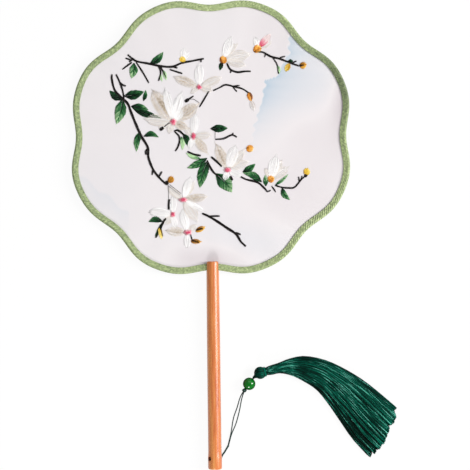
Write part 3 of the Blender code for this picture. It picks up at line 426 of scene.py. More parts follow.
def rim_points(turn, inset):
    """The face's edge drawn in by an inset: r = R - a cos 8t - b cos 16t - c cos 2t - d sin 2t,
    t round from the handle, moved along the curve's own normal."""
    radius = FACE_RADIUS - LOBE_RISE * np.cos(LOBES * turn) - LOBE_FLATTENING * np.cos(2 * LOBES * turn)
    radius = radius - FACE_WIDENING * np.cos(2 * turn) - FACE_LEAN * np.sin(2 * turn)
    slope = LOBES * (LOBE_RISE * np.sin(LOBES * turn) + 2 * LOBE_FLATTENING * np.sin(2 * LOBES * turn))
    slope = slope + 2 * FACE_WIDENING * np.sin(2 * turn) - 2 * FACE_LEAN * np.cos(2 * turn)
    outward = np.stack([np.sin(turn), -np.cos(turn)], axis=-1)
    along = np.stack([np.cos(turn), np.sin(turn)], axis=-1)
    radius, slope = radius[..., None], slope[..., None]
    normal = unit(radius * outward - slope * along)
    return radius * outward - np.asarray(inset)[..., None] * normal + FACE_CENTRE[:2]


def on_face(place, height):
    """Points on the face from hundredths of its radius, at given heights."""
    flat = np.asarray(place) / 100 * FACE_RADIUS + FACE_CENTRE[:2]
    return np.concatenate([flat, np.broadcast_to(height, flat.shape[:-1])[..., None]], axis=-1)


def smooth_lines(knots, count):
    """Catmull-Rom curves through knots (n, k, values), read at count even shares of each curve."""
    first = 2 * knots[:, :1] - knots[:, 1:2]
    last = 2 * knots[:, -1:] - knots[:, -2:-1]
    padded = np.concatenate([first, knots, last], axis=1)
    place = np.linspace(0, knots.shape[1] - 1, count)
    span = np.minimum(place.astype(int), knots.shape[1] - 2)
    share = (place - span)[None, :, None]
    before, start, end, after = (padded[:, span + step] for step in range(4))
    bend = 2 * before - 5 * start + 4 * end - after
    twist = 3 * start - 3 * end + after - before
    return start + 0.5 * share * ((end - before) + share * (bend + share * twist))


def even_line(knots, step):
    """One smooth curve through knots, read at even steps of its length."""
    fine = smooth_lines(np.asarray(knots)[None], 40 * len(knots))[0]
    gone = travelled(fine)
    count = max(3, int(round(gone[-1] / step)) + 1)
    return read_at(np.linspace(0.0, gone[-1], count), gone, fine)


def line_frames(lines):
    """Unit vectors across and above lines (n, k, 3) that never run straight up."""
    ahead = unit(np.gradient(lines, axis=1))
    across = unit(np.cross(ahead, UP))
    return across, np.cross(across, ahead)


def threads(lines, wide, high, sides=3, tint=0.5):
    """Closed threads round lines (n, k, 3): point = line + wide cos a across + high sin a above.
    Widths, heights and tints may differ from thread to thread and along each."""
    shape = lines.shape[:2]
    across, above = line_frames(lines)
    turn = math.pi / 2 + circle(sides)[:, None]
    wide, high = (np.broadcast_to(size, shape)[:, :, None, None] / 2 for size in (wide, high))
    ring = lines[:, :, None] + wide * np.cos(turn) * across[:, :, None]
    ring = ring + high * np.sin(turn) * above[:, :, None]
    index = np.arange(shape[0] * shape[1] * sides).reshape(*shape, sides)
    near, far = index[:, :-1], index[:, 1:]
    walls = np.stack([near, far, np.roll(far, -1, axis=2), np.roll(near, -1, axis=2)], axis=-1)
    ends = np.concatenate([index[:, 0], index[:, -1, ::-1]])
    tints = np.repeat(np.broadcast_to(tint, shape)[:, :, None], sides, axis=2)
    return ring.reshape(-1, 3), [walls.reshape(-1, 4), ends], tints.reshape(-1), None


def surface(points, closed=False, tint=0.5, uv=None):
    """A skin over rings of points (rows, columns, 3), whose rows close up too or end in caps."""
    rows, columns = points.shape[:2]
    index = np.arange(rows * columns).reshape(rows, columns)
    caps = [] if closed else [index[:1], index[-1:, ::-1]]
    if closed:
        index = np.concatenate([index, index[:1]])
    index = np.concatenate([index, index[:, :1]], axis=1)
    quads = np.stack([index[:-1, :-1], index[1:, :-1], index[1:, 1:], index[:-1, 1:]], axis=-1)
    tints = np.broadcast_to(tint, (rows, columns)).reshape(-1)
    return points.reshape(-1, 3), [quads.reshape(-1, 4), *caps], tints, uv


def placed(name, data, location=(0.0, 0.0, 0.0)):
    """A new object of the scene at a location."""
    made = bpy.data.objects.new(name, data)
    bpy.context.scene.collection.objects.link(made)
    made.location = location
    return made


def piece(name, parts, finishes, body, nodes=()):
    """One object from parts (vertices, face groups, tints, uv), part i with finish i or else the
    last, riding on a body in place of the frame's nodes."""
    vertices = np.concatenate([part[0] for part in parts])
    starts = np.cumsum([0] + [len(part[0]) for part in parts])
    used = list(dict.fromkeys(finishes))
    groups, numbers = [], []
    for number, part in enumerate(parts):
        finish = used.index(finishes[min(number, len(finishes) - 1)])
        for group in part[1]:
            groups.append(group + starts[number])
            numbers.append(np.full(len(group), finish, dtype=np.int32))
    sizes = np.concatenate([np.full(len(group), group.shape[1]) for group in groups])
    flat = np.concatenate([group.reshape(-1) for group in groups])
    mesh = bpy.data.meshes.new(name)
    mesh.vertices.add(len(vertices))
    mesh.vertices.foreach_set("co", vertices.astype(np.float32).reshape(-1))
    mesh.loops.add(len(flat))
    mesh.polygons.add(len(sizes))
    mesh.polygons.foreach_set("loop_start", np.concatenate([[0], np.cumsum(sizes)[:-1]]).astype(np.int32))
    mesh.polygons.foreach_set("vertices", flat.astype(np.int32))
    for finish in used:
        mesh.materials.append(finish)
    mesh.polygons.foreach_set("material_index", np.concatenate(numbers))
    mesh.polygons.foreach_set("use_smooth", np.full(len(sizes), True))
    mesh.update(calc_edges=True)
    tints = np.concatenate([part[2] for part in parts]).astype(np.float32)
    mesh.attributes.new("tint", "FLOAT", "POINT").data.foreach_set("value", tints)
    if parts[0][3] is not None:
        places = parts[0][3].reshape(-1, 2)[flat]
        mesh.uv_layers.new(name="UVMap").data.foreach_set("uv", places.astype(np.float32).reshape(-1))
    made = placed(name, mesh)
    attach(made, body)
    if nodes:
        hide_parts(*nodes)
    return made


def feed(tree, node, links):
    """Link or set a shader node's inputs."""
    for key, value in links.items():
        if isinstance(value, bpy.types.NodeSocket):
            tree.links.new(value, node.inputs[key])
        else:
            node.inputs[key].default_value = value


def add(tree, kind, links, out=0, stops=(), **settings):
    """Add one shader node with its inputs, settings and ramp stops, and give back one output."""
    made = tree.nodes.new("ShaderNode" + kind)
    for key, value in settings.items():
        setattr(made, key, value)
    feed(tree, made, links)
    for number, (place, code) in enumerate(stops):
        ramp = made.color_ramp.elements
        stop = ramp[number] if number < 2 else ramp.new(place)
        stop.position = place
        stop.color = (*srgb(code), 1.0)
    return made.outputs[out]


def finish_base(name, **values):
    """A new material, its tree and its Principled shader with plain values set on its sockets."""
    made = bpy.data.materials.new(name)
    made.use_nodes = True
    shader = made.node_tree.nodes["Principled BSDF"]
    feed(made.node_tree, shader, {key.replace("_", " "): value for key, value in values.items()})
    return made, made.node_tree, shader


# The scale at which a wave pattern repeats once in a metre
WAVE_AT_ONE = math.tau / 20


def lacquered_wood():
    """Reddish pear wood, turned, sanded and brushed with clear lacquer: long fine grain under a
    satin coat that keeps one soft highlight along the stick."""
    made, tree, shader = finish_base("lacquered_pear_wood", Coat_Weight=1.0, Coat_Roughness=0.27,
                                     Specular_IOR_Level=0.2)
    grain_width = 0.0011
    place = add(tree, "TexCoord", {}, "Object")
    stretched = add(tree, "Mapping", {"Vector": place, "Scale": (1.0, 0.035, 1.0)})
    fine = add(tree, "TexNoise", {"Vector": stretched, "Scale": 1 / grain_width, "Detail": 5.0})
    broad = add(tree, "TexNoise", {"Vector": stretched, "Scale": 0.18 / grain_width, "Detail": 2.0})
    both = add(tree, "Math", {0: fine, 1: broad}, operation="ADD")
    half = add(tree, "Math", {0: both, 1: 0.5}, operation="MULTIPLY")
    feed(tree, shader, {
        "Base Color": add(tree, "ValToRGB", {"Fac": half},
                          stops=[(0.34, "#a84f28"), (0.68, "#e09a56"), (0.50, "#ca743b")]),
        "Roughness": add(tree, "MapRange", {"Value": fine, "To Min": 0.34, "To Max": 0.5}),
        "Normal": add(tree, "Bump", {"Height": fine, "Strength": 0.12, "Distance": 0.0002}),
    })
    return made


def brocade():
    """Light green brocade ribbon, woven with small tone-on-tone figures and a slanting rib. The
    tint attribute is painted light and shade: how the ribbon's folds lie to the light, a painted
    shadow on the upper right of the rim and a darker left half, and it is lighter at the top."""
    made, tree, shader = finish_base("woven_brocade", Roughness=0.62, Sheen_Weight=0.12)
    rib_pitch, figure_size = 0.0011, 0.0022
    place = add(tree, "UVMap", {}, uv_map="UVMap")
    slanted = add(tree, "Mapping", {"Vector": place, "Rotation": (0.0, 0.0, math.radians(38.0))})
    rib = add(tree, "TexWave", {"Vector": slanted, "Scale": WAVE_AT_ONE / rib_pitch,
                                "Distortion": 1.2, "Detail": 1.0}, "Fac")
    figure = add(tree, "TexNoise", {"Vector": place, "Scale": 1 / figure_size, "Detail": 3.0,
                                    "Roughness": 0.7})
    woven = add(tree, "MapRange", {"Value": figure, "From Min": 0.28, "From Max": 0.72})
    ribbed = add(tree, "Math", {0: rib, 1: 0.16, 2: woven}, operation="MULTIPLY_ADD")
    # Painted shade of the binding: lighter and darker along the puckers, darker on the upper right and on
    # the left half, lighter at the top
    painted_rim_shade = add(tree, "Attribute", {}, "Fac", attribute_name="tint")
    worn = add(tree, "Math", {0: ribbed, 1: 0.36, 2: 0.375}, operation="MULTIPLY_ADD")
    # The weave with the painted shade laid over it
    shaded = add(tree, "Math", {0: painted_rim_shade, 1: 0.5, 2: worn}, operation="MULTIPLY_ADD")
    stops = [(0.52, "#48563a"), (1.0, "#d0dda6"), (0.72, "#7d8d62"), (0.86, "#a0b17b")]
    feed(tree, shader, {
        "Base Color": add(tree, "ValToRGB", {"Fac": shaded}, stops=stops),
        "Normal": add(tree, "Bump", {"Height": ribbed, "Strength": 0.35, "Distance": 0.0003}),
    })
    return made


def organza():
    """Sheer silk organza with a pale blue ink wash: a fine open weave, crisp and barely glossy,
    drawn coarser than real so that it shows. The tint attribute is how much ink a place took,
    and below 0.25 how much painted shade lies on it."""
    made, tree, shader = finish_base("silk_organza", Roughness=0.55, Sheen_Weight=0.15)
    thread_pitch = 0.0009
    place = add(tree, "TexCoord", {}, "Object")
    weave = {"Vector": place, "Scale": WAVE_AT_ONE / thread_pitch, "Distortion": 0.6, "Detail": 1.0}
    warp, weft = (add(tree, "TexWave", weave, "Fac", bands_direction=way) for way in ("X", "Y"))
    mesh = add(tree, "Math", {0: warp, 1: weft}, operation="MAXIMUM")
    ink_and_shade_taken = add(tree, "Attribute", {}, "Fac", attribute_name="tint")
    # The darkest stop is the painted warm shade, the lightest the full blue ink
    stops = [(0.0, "#cbc2c7"), (1.0, "#b4c8d8"), (0.25, "#e8e4e6"), (0.55, "#d2d8e0")]
    feed(tree, shader, {
        "Base Color": add(tree, "ValToRGB", {"Fac": ink_and_shade_taken}, stops=stops),
        "Alpha": add(tree, "MapRange", {"Value": mesh, "To Min": 0.80, "To Max": 0.92}),
        "Normal": add(tree, "Bump", {"Height": mesh, "Strength": 0.1, "Distance": 0.0001}),
    })
    return made


def floss(name):
    """Untwisted silk floss laid in satin stitch: a soft lustre along the threads. The tint
    attribute runs from the darkest tone to the lightest, for the threads' own tones and for painted
    light and shade, and mottle is how far it strays."""
    lustre, mottle, stops = FLOSS_TONES[name]
    made, tree, shader = finish_base(f"{name}_silk_floss", Roughness=0.45, Specular_IOR_Level=lustre)
    tuft_size = 0.0017
    tint = add(tree, "Attribute", {}, "Fac", attribute_name="tint")
    place = add(tree, "TexCoord", {}, "Object")
    speck = add(tree, "TexNoise", {"Vector": place, "Scale": 1 / tuft_size, "Detail": 3.0})
    spread = add(tree, "MapRange", {"Value": speck, "To Min": -mottle, "To Max": mottle})
    both = add(tree, "Math", {0: tint, 1: spread}, operation="ADD")
    feed(tree, shader, {"Base Color": add(tree, "ValToRGB", {"Fac": both}, stops=stops)})
    return made


def green_glass():
    """Pressed green glass, fire polished: deep colour with a painted glow in the middle and painted shade
    at the rim, and two sharp highlights.
    """
    made, tree, shader = finish_base("pressed_green_glass", Roughness=0.3, Specular_IOR_Level=0.0,
                                     Coat_Roughness=0.03, Coat_IOR=1.6)
    facing = add(tree, "LayerWeight", {"Blend": 0.40}, "Facing")
    # Painted light: the green is lighter in the middle and darker towards the rim, as light through the
    # glass would show
    colours = [(0.0, "#006312"), (0.75, "#001e08"), (0.20, "#006c18"), (0.40, "#00520f")]
    glosses = [(0.0, "#989898"), (0.80, "#202020"), (0.09, "#ffffff"), (0.18, "#ffffff"), (0.30, "#808080")]
    feed(tree, shader, {
        "Base Color": add(tree, "ValToRGB", {"Fac": facing}, stops=colours),
        "Coat Weight": add(tree, "ValToRGB", {"Fac": facing}, stops=glosses),
    })
    return made


def drawn_wire():
    """Bright drawn steel wire, with fine lines left along it by the die."""
    made, tree, shader = finish_base("drawn_steel_wire", Metallic=1.0, Roughness=0.35,
                                     Base_Color=(*srgb("#b4b6ba"), 1.0))
    line_width = 0.0006
    place = add(tree, "TexCoord", {}, "Object")
    lines = add(tree, "TexNoise", {"Vector": place, "Scale": 1 / line_width})
    bump = add(tree, "Bump", {"Height": lines, "Strength": 0.1, "Distance": 0.0001})
    feed(tree, shader, {"Normal": bump})
    return made


def bare_wood():
    """Plain turned wood of the tassel's mould, unfinished and matt."""
    made, tree, shader = finish_base("turned_limewood", Roughness=0.75)
    grain_width = 0.0015
    place = add(tree, "TexCoord", {}, "Object")
    grain = add(tree, "TexNoise", {"Vector": place, "Scale": 1 / grain_width, "Detail": 4.0})
    stops = [(0.3, "#b08a5e"), (0.7, "#d2b184")]
    feed(tree, shader, {"Base Color": add(tree, "ValToRGB", {"Fac": grain}, stops=stops)})
    return made


def studio_paper():
    """Seamless white paper. Seen straight on it is lifted towards white and keeps a faint shadow."""
    made, tree, shader = finish_base("seamless_paper", Roughness=0.9, Base_Color=(*srgb("#f4f4f4"), 1.0))
    rays = add(tree, "LightPath", {}).node.outputs
    straight = add(tree, "Math", {0: rays["Is Camera Ray"], 1: rays["Is Glossy Ray"]}, operation="MAXIMUM")
    seen = add(tree, "Math", {0: straight, 1: rays["Is Transmission Ray"]}, operation="MAXIMUM")
    share = add(tree, "Math", {0: seen, 1: 0.93}, operation="MULTIPLY")
    white = add(tree, "Emission", {"Color": (1.0, 1.0, 1.0, 1.0), "Strength": 1.0})
    mix = add(tree, "MixShader", {0: share, 1: shader.outputs[0], 2: white})
    feed(tree, tree.nodes["Material Output"], {"Surface": mix})
    return made


FINISH_MAKERS = {
    "wood": lacquered_wood, "brocade": brocade, "organza": organza, "glass": green_glass,
    "wire": drawn_wire, "limewood": bare_wood, "paper": studio_paper,
}
FINISHES = {}


def finish_of(name):
    """One of the fan's finishes, made when it is first asked for."""
    if name not in FINISHES:
        FINISHES[name] = floss(name) if name in FLOSS_TONES else FINISH_MAKERS[name]()
    return FINISHES[name]


class FanSizes(bpy.types.PropertyGroup):
    """Thread sizes and counts of the fan."""

    satin_pitch: FloatProperty(
        name="Satin pitch", description="Distance between threads of a petal or leaf",
        default=0.00034, unit="LENGTH")
    floss_height: FloatProperty(
        name="Floss height", description="Thickness of one thread of floss",
        default=0.00015, unit="LENGTH")
    bark_stitch: FloatProperty(
        name="Bark stitch", description="Length of one stem stitch on a branch",
        default=0.0034, unit="LENGTH")
    strand_diameter: FloatProperty(
        name="Strand diameter", description="Diameter of one strand of the cord",
        default=0.0009, unit="LENGTH")
    cord_lay: FloatProperty(
        name="Cord lay", description="Length of one turn of the cord's plies",
        default=0.0018, unit="LENGTH")
    tassel_thread: FloatProperty(
        name="Tassel thread", description="Diameter of one thread of the skirt",
        default=0.0005, unit="LENGTH")
    tassel_threads: IntProperty(
        name="Tassel threads", description="Number of threads in the skirt", default=2700)


class FanColours(bpy.types.PropertyGroup):
    """Colours of the lamps and of the light from all round."""

    lamp: FloatVectorProperty(
        name="Lamp", description="Colour of the soft lamps", subtype="COLOR", size=3,
        default=srgb("#fffdfc"))
    sky: FloatVectorProperty(
        name="Sky", description="Colour of the light from all round", subtype="COLOR", size=3,
        default=srgb("#ffffff"))


def satin_pitch(sizes):
    """Distance between satin threads in hundredths of the face's radius."""
    return sizes.satin_pitch / FACE_RADIUS * 100


def clumped(rng, count, size):
    """Random values from -1 to 1 that neighbours share in clumps of one size."""
    return np.repeat(rng.uniform(-1, 1, count // size + 1), size)[:count]


def petal_lines(heading, length, width, pitch, rng, blunt, skew):
    """Satin threads of one petal in face units: thread i keeps its share v of the half width
    W/2 sin(pi s^skew)^blunt, from near the petal's foot to near its tip, and strays a little."""
    count = max(6, int(width / pitch))
    side = np.linspace(-0.94, 0.94, count) + rng.uniform(-0.05, 0.05, count)
    wisp = rng.uniform(0.02, 0.09, count) * (rng.uniform(0, 1, count) < 0.2)
    reach = 1.0 - 0.16 * np.abs(side) ** 2 - rng.uniform(0.0, 0.08, count) + wisp
    foot = 0.02 + 0.10 * np.abs(side) + rng.uniform(0.0, 0.04, count)
    share = foot[:, None] + (reach - foot)[:, None] * np.linspace(0, 1, 10)
    half = width / 2 * np.sin(math.pi * np.clip(share, 0, 0.985) ** skew) ** blunt
    stray = rng.uniform(-0.35, 0.35, count)[:, None] * share**2 * min(1.0, width / 6)
    plan = np.stack([length * share, side[:, None] * half + stray], axis=-1)
    rise = np.sin(math.pi * np.linspace(0, 1, share.shape[1])) ** 0.5
    return turned(plan, math.radians(heading)), side[:, None], share, rise


def petal_threads(centre, petal, base, side_up, sizes, rng):
    """One petal: its threads arch over the silk and sink into it at both ends. A cream petal is
    darker in its middle, a pale one at its edges, and a pink one at its foot; a white one has
    painted shade at its foot, where the petals meet."""
    heading, length, width, kind = petal
    coarse, blunt, skew, low, dome, thick = SHEER_PETAL if kind in ("cream", "pale") else CLOSE_PETAL
    pitch = satin_pitch(sizes) * coarse
    plan, side, share, rise = petal_lines(heading, length, width, pitch, rng, blunt, skew)
    height = rise * (low + dome * (1 - side**2)) - PETAL_SINK
    lines = on_face(centre + plan, base + side_up * height)
    streak = 0.10 * np.sin(side * rng.uniform(7, 11) + rng.uniform(0, 6))
    streak = streak + rng.uniform(-0.12, 0.10, side.shape)
    edge = np.abs(side)
    if kind == "cream":
        core = bell(edge, 0, 0.75) * bell(share, 0.52, 0.34)
        tint = 0.86 + 0.8 * streak - 0.60 * core * min(1.0, width / 9)
    elif kind == "pale":
        tint = 0.86 + 0.9 * streak - 0.24 * edge**3
    elif kind == "pink":
        tint = 0.10 + 1.50 * share + 0.6 * streak
    else:
        # Painted shade at the foot, where the petals meet
        tint = 0.84 + 0.7 * streak + 0.12 * edge**2 - 0.30 * np.exp(-share * length / 2.2)
    return threads(lines, sizes.satin_pitch * thick * (0.35 + 0.65 * rise), sizes.floss_height, tint=tint)


def heart_threads(centre, shape, base, side_up, sizes, rng):
    """The coloured heart of a blossom: long pale threads that cross, under short deep ones."""
    parts = []
    share, arch = np.linspace(-1, 1, 5), 0.00014
    for count, reaches, low, tones in (
        (44, (1.5, 2.5), 0.00018, (0.46, 0.78)),
        (30, (0.8, 1.7), 0.00030, (0.12, 0.48)),
    ):
        turn = rng.uniform(0, math.pi, count)
        reach = rng.uniform(*reaches, count)
        drift = rng.uniform(-0.35, 0.35, (count, 2))
        heading = np.stack([np.cos(turn), np.sin(turn)], axis=-1) * shape
        plan = centre + (reach[:, None] * share)[..., None] * heading[:, None] + drift[:, None]
        lines = on_face(plan, base + side_up * (low + arch * (1 - share**2)))
        tint = rng.uniform(*tones, count)[:, None] + 0.15 * np.abs(share)
        parts.append(threads(lines, sizes.satin_pitch * 1.2, sizes.floss_height, tint=tint))
    return parts


def leaf_threads(stalk, tip, width, tone, bend, base, side_up, sizes, rng):
    """Fishbone satin of a leaf: threads leave the midrib at a slant and reach the edge, whose half
    width is W/2 sin(pi s^0.9)^0.85 about a midrib bent sideways by b sin(pi s)."""
    along = np.subtract(tip, stalk)
    length = np.linalg.norm(along)
    ahead = along / length
    across = np.array([-ahead[1], ahead[0]])
    count = max(8, int(length / satin_pitch(sizes)))
    step, lift, arch = np.linspace(0.0, 1.0, 4), 0.00006, 0.00013
    parts = []
    for half_side in (-1, 1):
        root = np.linspace(0.0, 0.90, count) + rng.uniform(-0.006, 0.006, count)
        slant = 0.30 * width / length * (1.2 - root)
        share = np.clip(root[:, None] + (slant + 0.06)[:, None] * step * 1.4, 0.0, 1.0)
        edge = width / 2 * np.sin(math.pi * np.clip(share[:, -1], 0.002, 0.998) ** 0.9) ** 0.85
        ragged = 1 + 0.05 * clumped(rng, count, 4) + rng.uniform(-0.05, 0.03, count)
        out = half_side * (edge * ragged)[:, None] * (0.04 + 0.96 * step)
        rib = bend * length * np.sin(math.pi * share)
        plan = stalk + ahead * (share * length)[..., None] + across * (out + rib)[..., None]
        lines = on_face(plan, base + side_up * (lift + arch * np.sin(math.pi * (0.15 + 0.75 * step))))
        lit = 0.06 if half_side * across[1] > 0 else -0.02
        tint = 0.12 + tone + lit + (0.40 + 0.5 * tone) * (share - 0.5) - 0.14 * np.exp(-step / 0.2)
        streak = clumped(rng, count, 3)
        tint = tint + (rng.uniform(-0.07, 0.07, count) + 0.17 * streak)[:, None]
        parts.append(threads(lines, sizes.satin_pitch * 1.35, sizes.floss_height, tint=tint))
    return parts


def bud_threads(foot, tip, width, base, side_up, sizes, rng):
    """A bud or flower base, darker at its foot and painted in shade on one side: a slim one is a single
    petal, and a full one three that fan out a little."""
    along = np.subtract(tip, foot)
    length = float(np.linalg.norm(along))
    heading = math.degrees(math.atan2(along[1], along[0]))
    low, dome, lobes = 0.00014, 0.00010, [(0, 1.0, 1.0)]
    if width > 0.6 * length:
        lobes = [(-17, 0.88, 0.66), (18, 0.93, 0.60), (1, 1.0, 0.62)]
    parts = []
    for lean, long, wide in lobes:
        plan, side, share, rise = petal_lines(
            heading + lean, length * long, width * wide, satin_pitch(sizes), rng, 0.7, 1.0)
        lines = on_face(foot + plan, base + side_up * rise * (low + dome * (1 - side**2)))
        # The last term paints one side of each lobe darker, as shade
        tint = 0.10 + 0.62 * share + 0.28 * clumped(rng, len(side), 2)[:, None] - 0.18 * side
        tint = tint + rng.uniform(-0.16, 0.16)
        parts.append(threads(lines, sizes.satin_pitch * 1.25, sizes.floss_height, tint=tint))
    return parts


def branch_threads(width, stem, twigs, base, side_up, sizes, rng):
    """Stem stitch along a branch and its thinner twigs: short slanting stitches that overlap, in as
    many rows as fill each line's width, which swells and thins a little and tapers at the ends."""
    parts = []
    share = np.linspace(0, 1, 5)
    slant, lift, arch, crown, ripple = 0.00010 * (2 * share - 1), 0.00008, 0.00022, 0.00008, 0.0019
    long, step = sizes.bark_stitch, sizes.bark_stitch * 0.45
    for line, wide in [(stem, width), *((twig, width * 0.7) for twig in twigs)]:
        fine = even_line(on_face(line, base), BRANCH_STEP)
        known = np.linspace(0.0, BRANCH_STEP * (len(fine) - 1), len(fine))
        length = known[-1]
        across = line_frames(fine[None])[0][0]
        rows = max(1, int(round(wide / 100 * FACE_RADIUS / (sizes.satin_pitch * 0.75))))
        faint = 0.40 if wide < 0.5 else 0.0
        begins = np.arange(-long * 0.3, length - long * 0.5, step)
        for row in np.linspace(-1, 1, rows):
            begin = begins + rng.uniform(-0.3, 0.3, len(begins)) * step
            where = np.clip(begin[:, None] + share * long, 0.0, length)
            swell = 0.85 + 0.35 * np.sin(math.pi * where / length)
            swell = swell + 0.10 * np.sin(where / ripple + line[0][0])
            offset = row * wide / 200 * FACE_RADIUS * swell + slant
            lines = read_at(where, known, fine) + offset[..., None] * read_at(where, known, across)
            rise = lift + arch * np.sin(math.pi * share) + crown * (1 - row**2)
            lines[..., 2] = base + side_up * rise
            keep = where[:, -1] - where[:, 0] > SHORTEST_STITCH
            # The last term paints one row of stitches lighter than the other, as a highlight along that
            # side of the branch
            tint = faint + rng.uniform(0.15, 0.60, len(begins))[:, None] + 0.12 * row
            parts.append(threads(lines[keep], sizes.satin_pitch, sizes.floss_height, tint=tint[keep]))
    return parts


def both_sides(layer):
    """Underside heights of a stitched layer on the front and on the back of the silk."""
    step = 0.00005 * layer
    silk_back = AXIS_HEIGHT - SILK_THICKNESS / 2
    return ((SILK_TOP + step, 1), (silk_back - 0.5 * step, -1))


def stitch(loose_name, maker, motifs):
    """Pieces of stitches: one for each motif that has a node, and one for all the others. A motif
    is its random seed, node, layer and finish, and what the maker of its threads needs."""
    sizes = bpy.context.scene.fan_sizes
    loose, finishes = [], []
    for seed, node, layer, finish, *needs in motifs:
        parts = []
        for base, side_up in both_sides(layer):
            parts += maker(*needs, base, side_up, sizes, np.random.default_rng(seed))
        if node:
            piece(f"{node}_stitches", parts, [finish_of(finish)], "fan", [node])
        else:
            loose += parts
            finishes += [finish_of(finish)] * len(parts)
    piece(loose_name, loose, finishes, "fan")


def ply_lines(path, plies, offset, lay):
    """Plies wound round a path: ply j stands off by an offset that turns once in each lay."""
    across, above = (vector[0] for vector in line_frames(path[None]))
    turn = (math.tau * travelled(path) / lay + circle(plies)[:, None])[..., None]
    return path + offset * (np.cos(turn) * across + np.sin(turn) * above)


def eased(path, reach):
    """A path with each point averaged over its neighbours by a raised cosine, its two ends kept."""
    start = 2 * path[0] - path[reach:0:-1]
    end = 2 * path[-1] - path[-2:-reach - 2:-1]
    weights = np.hanning(2 * reach + 3)[1:-1]
    padded = np.concatenate([start, path, end])
    return np.stack([np.convolve(column, weights / weights.sum(), "valid") for column in padded.T], axis=1)


def plied(path, diameter, lay, rng, tone=0.5, fullness=0.60):
    """A cord of three twisted plies round a path. Fullness is a ply's share of its thickness."""
    ply = fullness * diameter
    lines = ply_lines(path, 3, (diameter - ply) / 2, lay)
    tint = tone + rng.uniform(-0.07, 0.07, (3, 1)) + 0.05 * np.sin(np.arange(len(path)) * 0.9)
    return threads(lines, ply, ply, sides=8, tint=tint)


def globe(place, radius, rows, columns, end=math.pi, heading=0.0):
    """Part of a sphere whose pole axis lies along a heading: x = -R cos p, r = R sin p."""
    polar = np.clip(np.linspace(0.0, end, rows), 0.02, math.pi - 0.02)[:, None]
    rings = lathe(-radius * np.cos(polar), radius * np.sin(polar), circle(columns), heading, place)
    return surface(rings[:, ::-1])


def knot(node, body, place, diameter, heading, tone=0.3, finish="cord"):
    """An overhand knot pulled tight, with a filled middle: a tube round the trefoil
    x = -2.2 sin 3t, y = sin t + 2 sin 2t, z = cos t - 2 cos 2t, shrunk to the knot's diameter."""
    turn = circle(60)
    trefoil = np.stack([-np.sin(3 * turn) * 2.2, np.sin(turn) + 2 * np.sin(2 * turn),
                        np.cos(turn) - 2 * np.cos(2 * turn)], axis=-1)
    reach, rope_share, ball_share = 0.62, 0.42, 0.36
    line = place + turned(trefoil * diameter / 2 * reach / 3, heading)
    ahead = unit(np.roll(line, -1, axis=0) - np.roll(line, 1, axis=0))
    across = unit(np.cross(ahead, line - line.mean(axis=0)))
    above = np.cross(across, ahead)
    turn = circle(8)[:, None]
    ring = np.cos(turn) * across[:, None] + np.sin(turn) * above[:, None]
    rope = surface(line[:, None] + ring * diameter * rope_share / 2, closed=True, tint=tone)
    ball = globe(place, diameter * ball_share, 12, 16)
    return piece(f"{node}_tied", [rope, ball], [finish_of(finish)], body, [node])


class FAN_OT_stage(bpy.types.Operator):
    """Make the floor, the lamps and the camera"""

    bl_idname = "fan.stage"
    bl_label = "Stage"

    def execute(self, context):
        scene, colours = context.scene, context.scene.fan_colours
        scene.view_settings.view_transform = "Standard"
        half = 3.0
        floor = bpy.data.meshes.new("floor")
        floor.from_pydata([(-half, -half, 0), (half, -half, 0), (half, half, 0), (-half, half, 0)], [],
                          [(0, 1, 2, 3)])
        floor.materials.append(finish_of("paper"))
        placed("floor", floor)
        world = bpy.data.worlds.new("studio")
        world.use_nodes = True
        feed(world.node_tree, world.node_tree.nodes["Background"],
             {"Color": (*colours.sky, 1.0), "Strength": 0.28})
        scene.world = world
        fan_middle = Vector((0.02, 0.0, AXIS_HEIGHT))
        for name, place, size, power in (
            ("side_softbox", (3.00, 0.30, 1.98), (1.30, 2.10), 146.0),
            ("front_softbox", (-0.05, -0.95, 0.50), (0.26, 0.26), 4.6),
            ("top_softbox", (0.30, 1.40, 2.00), (2.4, 2.4), 16.0),
        ):
            light = bpy.data.lights.new(name, "AREA")
            light.shape = "RECTANGLE"
            light.size, light.size_y = size
            light.energy = power
            light.color = colours.lamp
            lamp = placed(name, light, place)
            lamp.rotation_euler = (fan_middle - lamp.location).to_track_quat("-Z", "Y").to_euler()
        frame_middle, frame_width, distance, roll = (0.02049, -0.00032), 0.4227, 1.5, -0.7076
        view = bpy.data.cameras.new("camera")
        view.sensor_width = 36.0
        view.lens = view.sensor_width * distance / frame_width
        scene.camera = placed("camera", view, (*frame_middle, AXIS_HEIGHT + distance))
        scene.camera.rotation_euler = (0.0, 0.0, math.radians(roll))
        return {"FINISHED"}


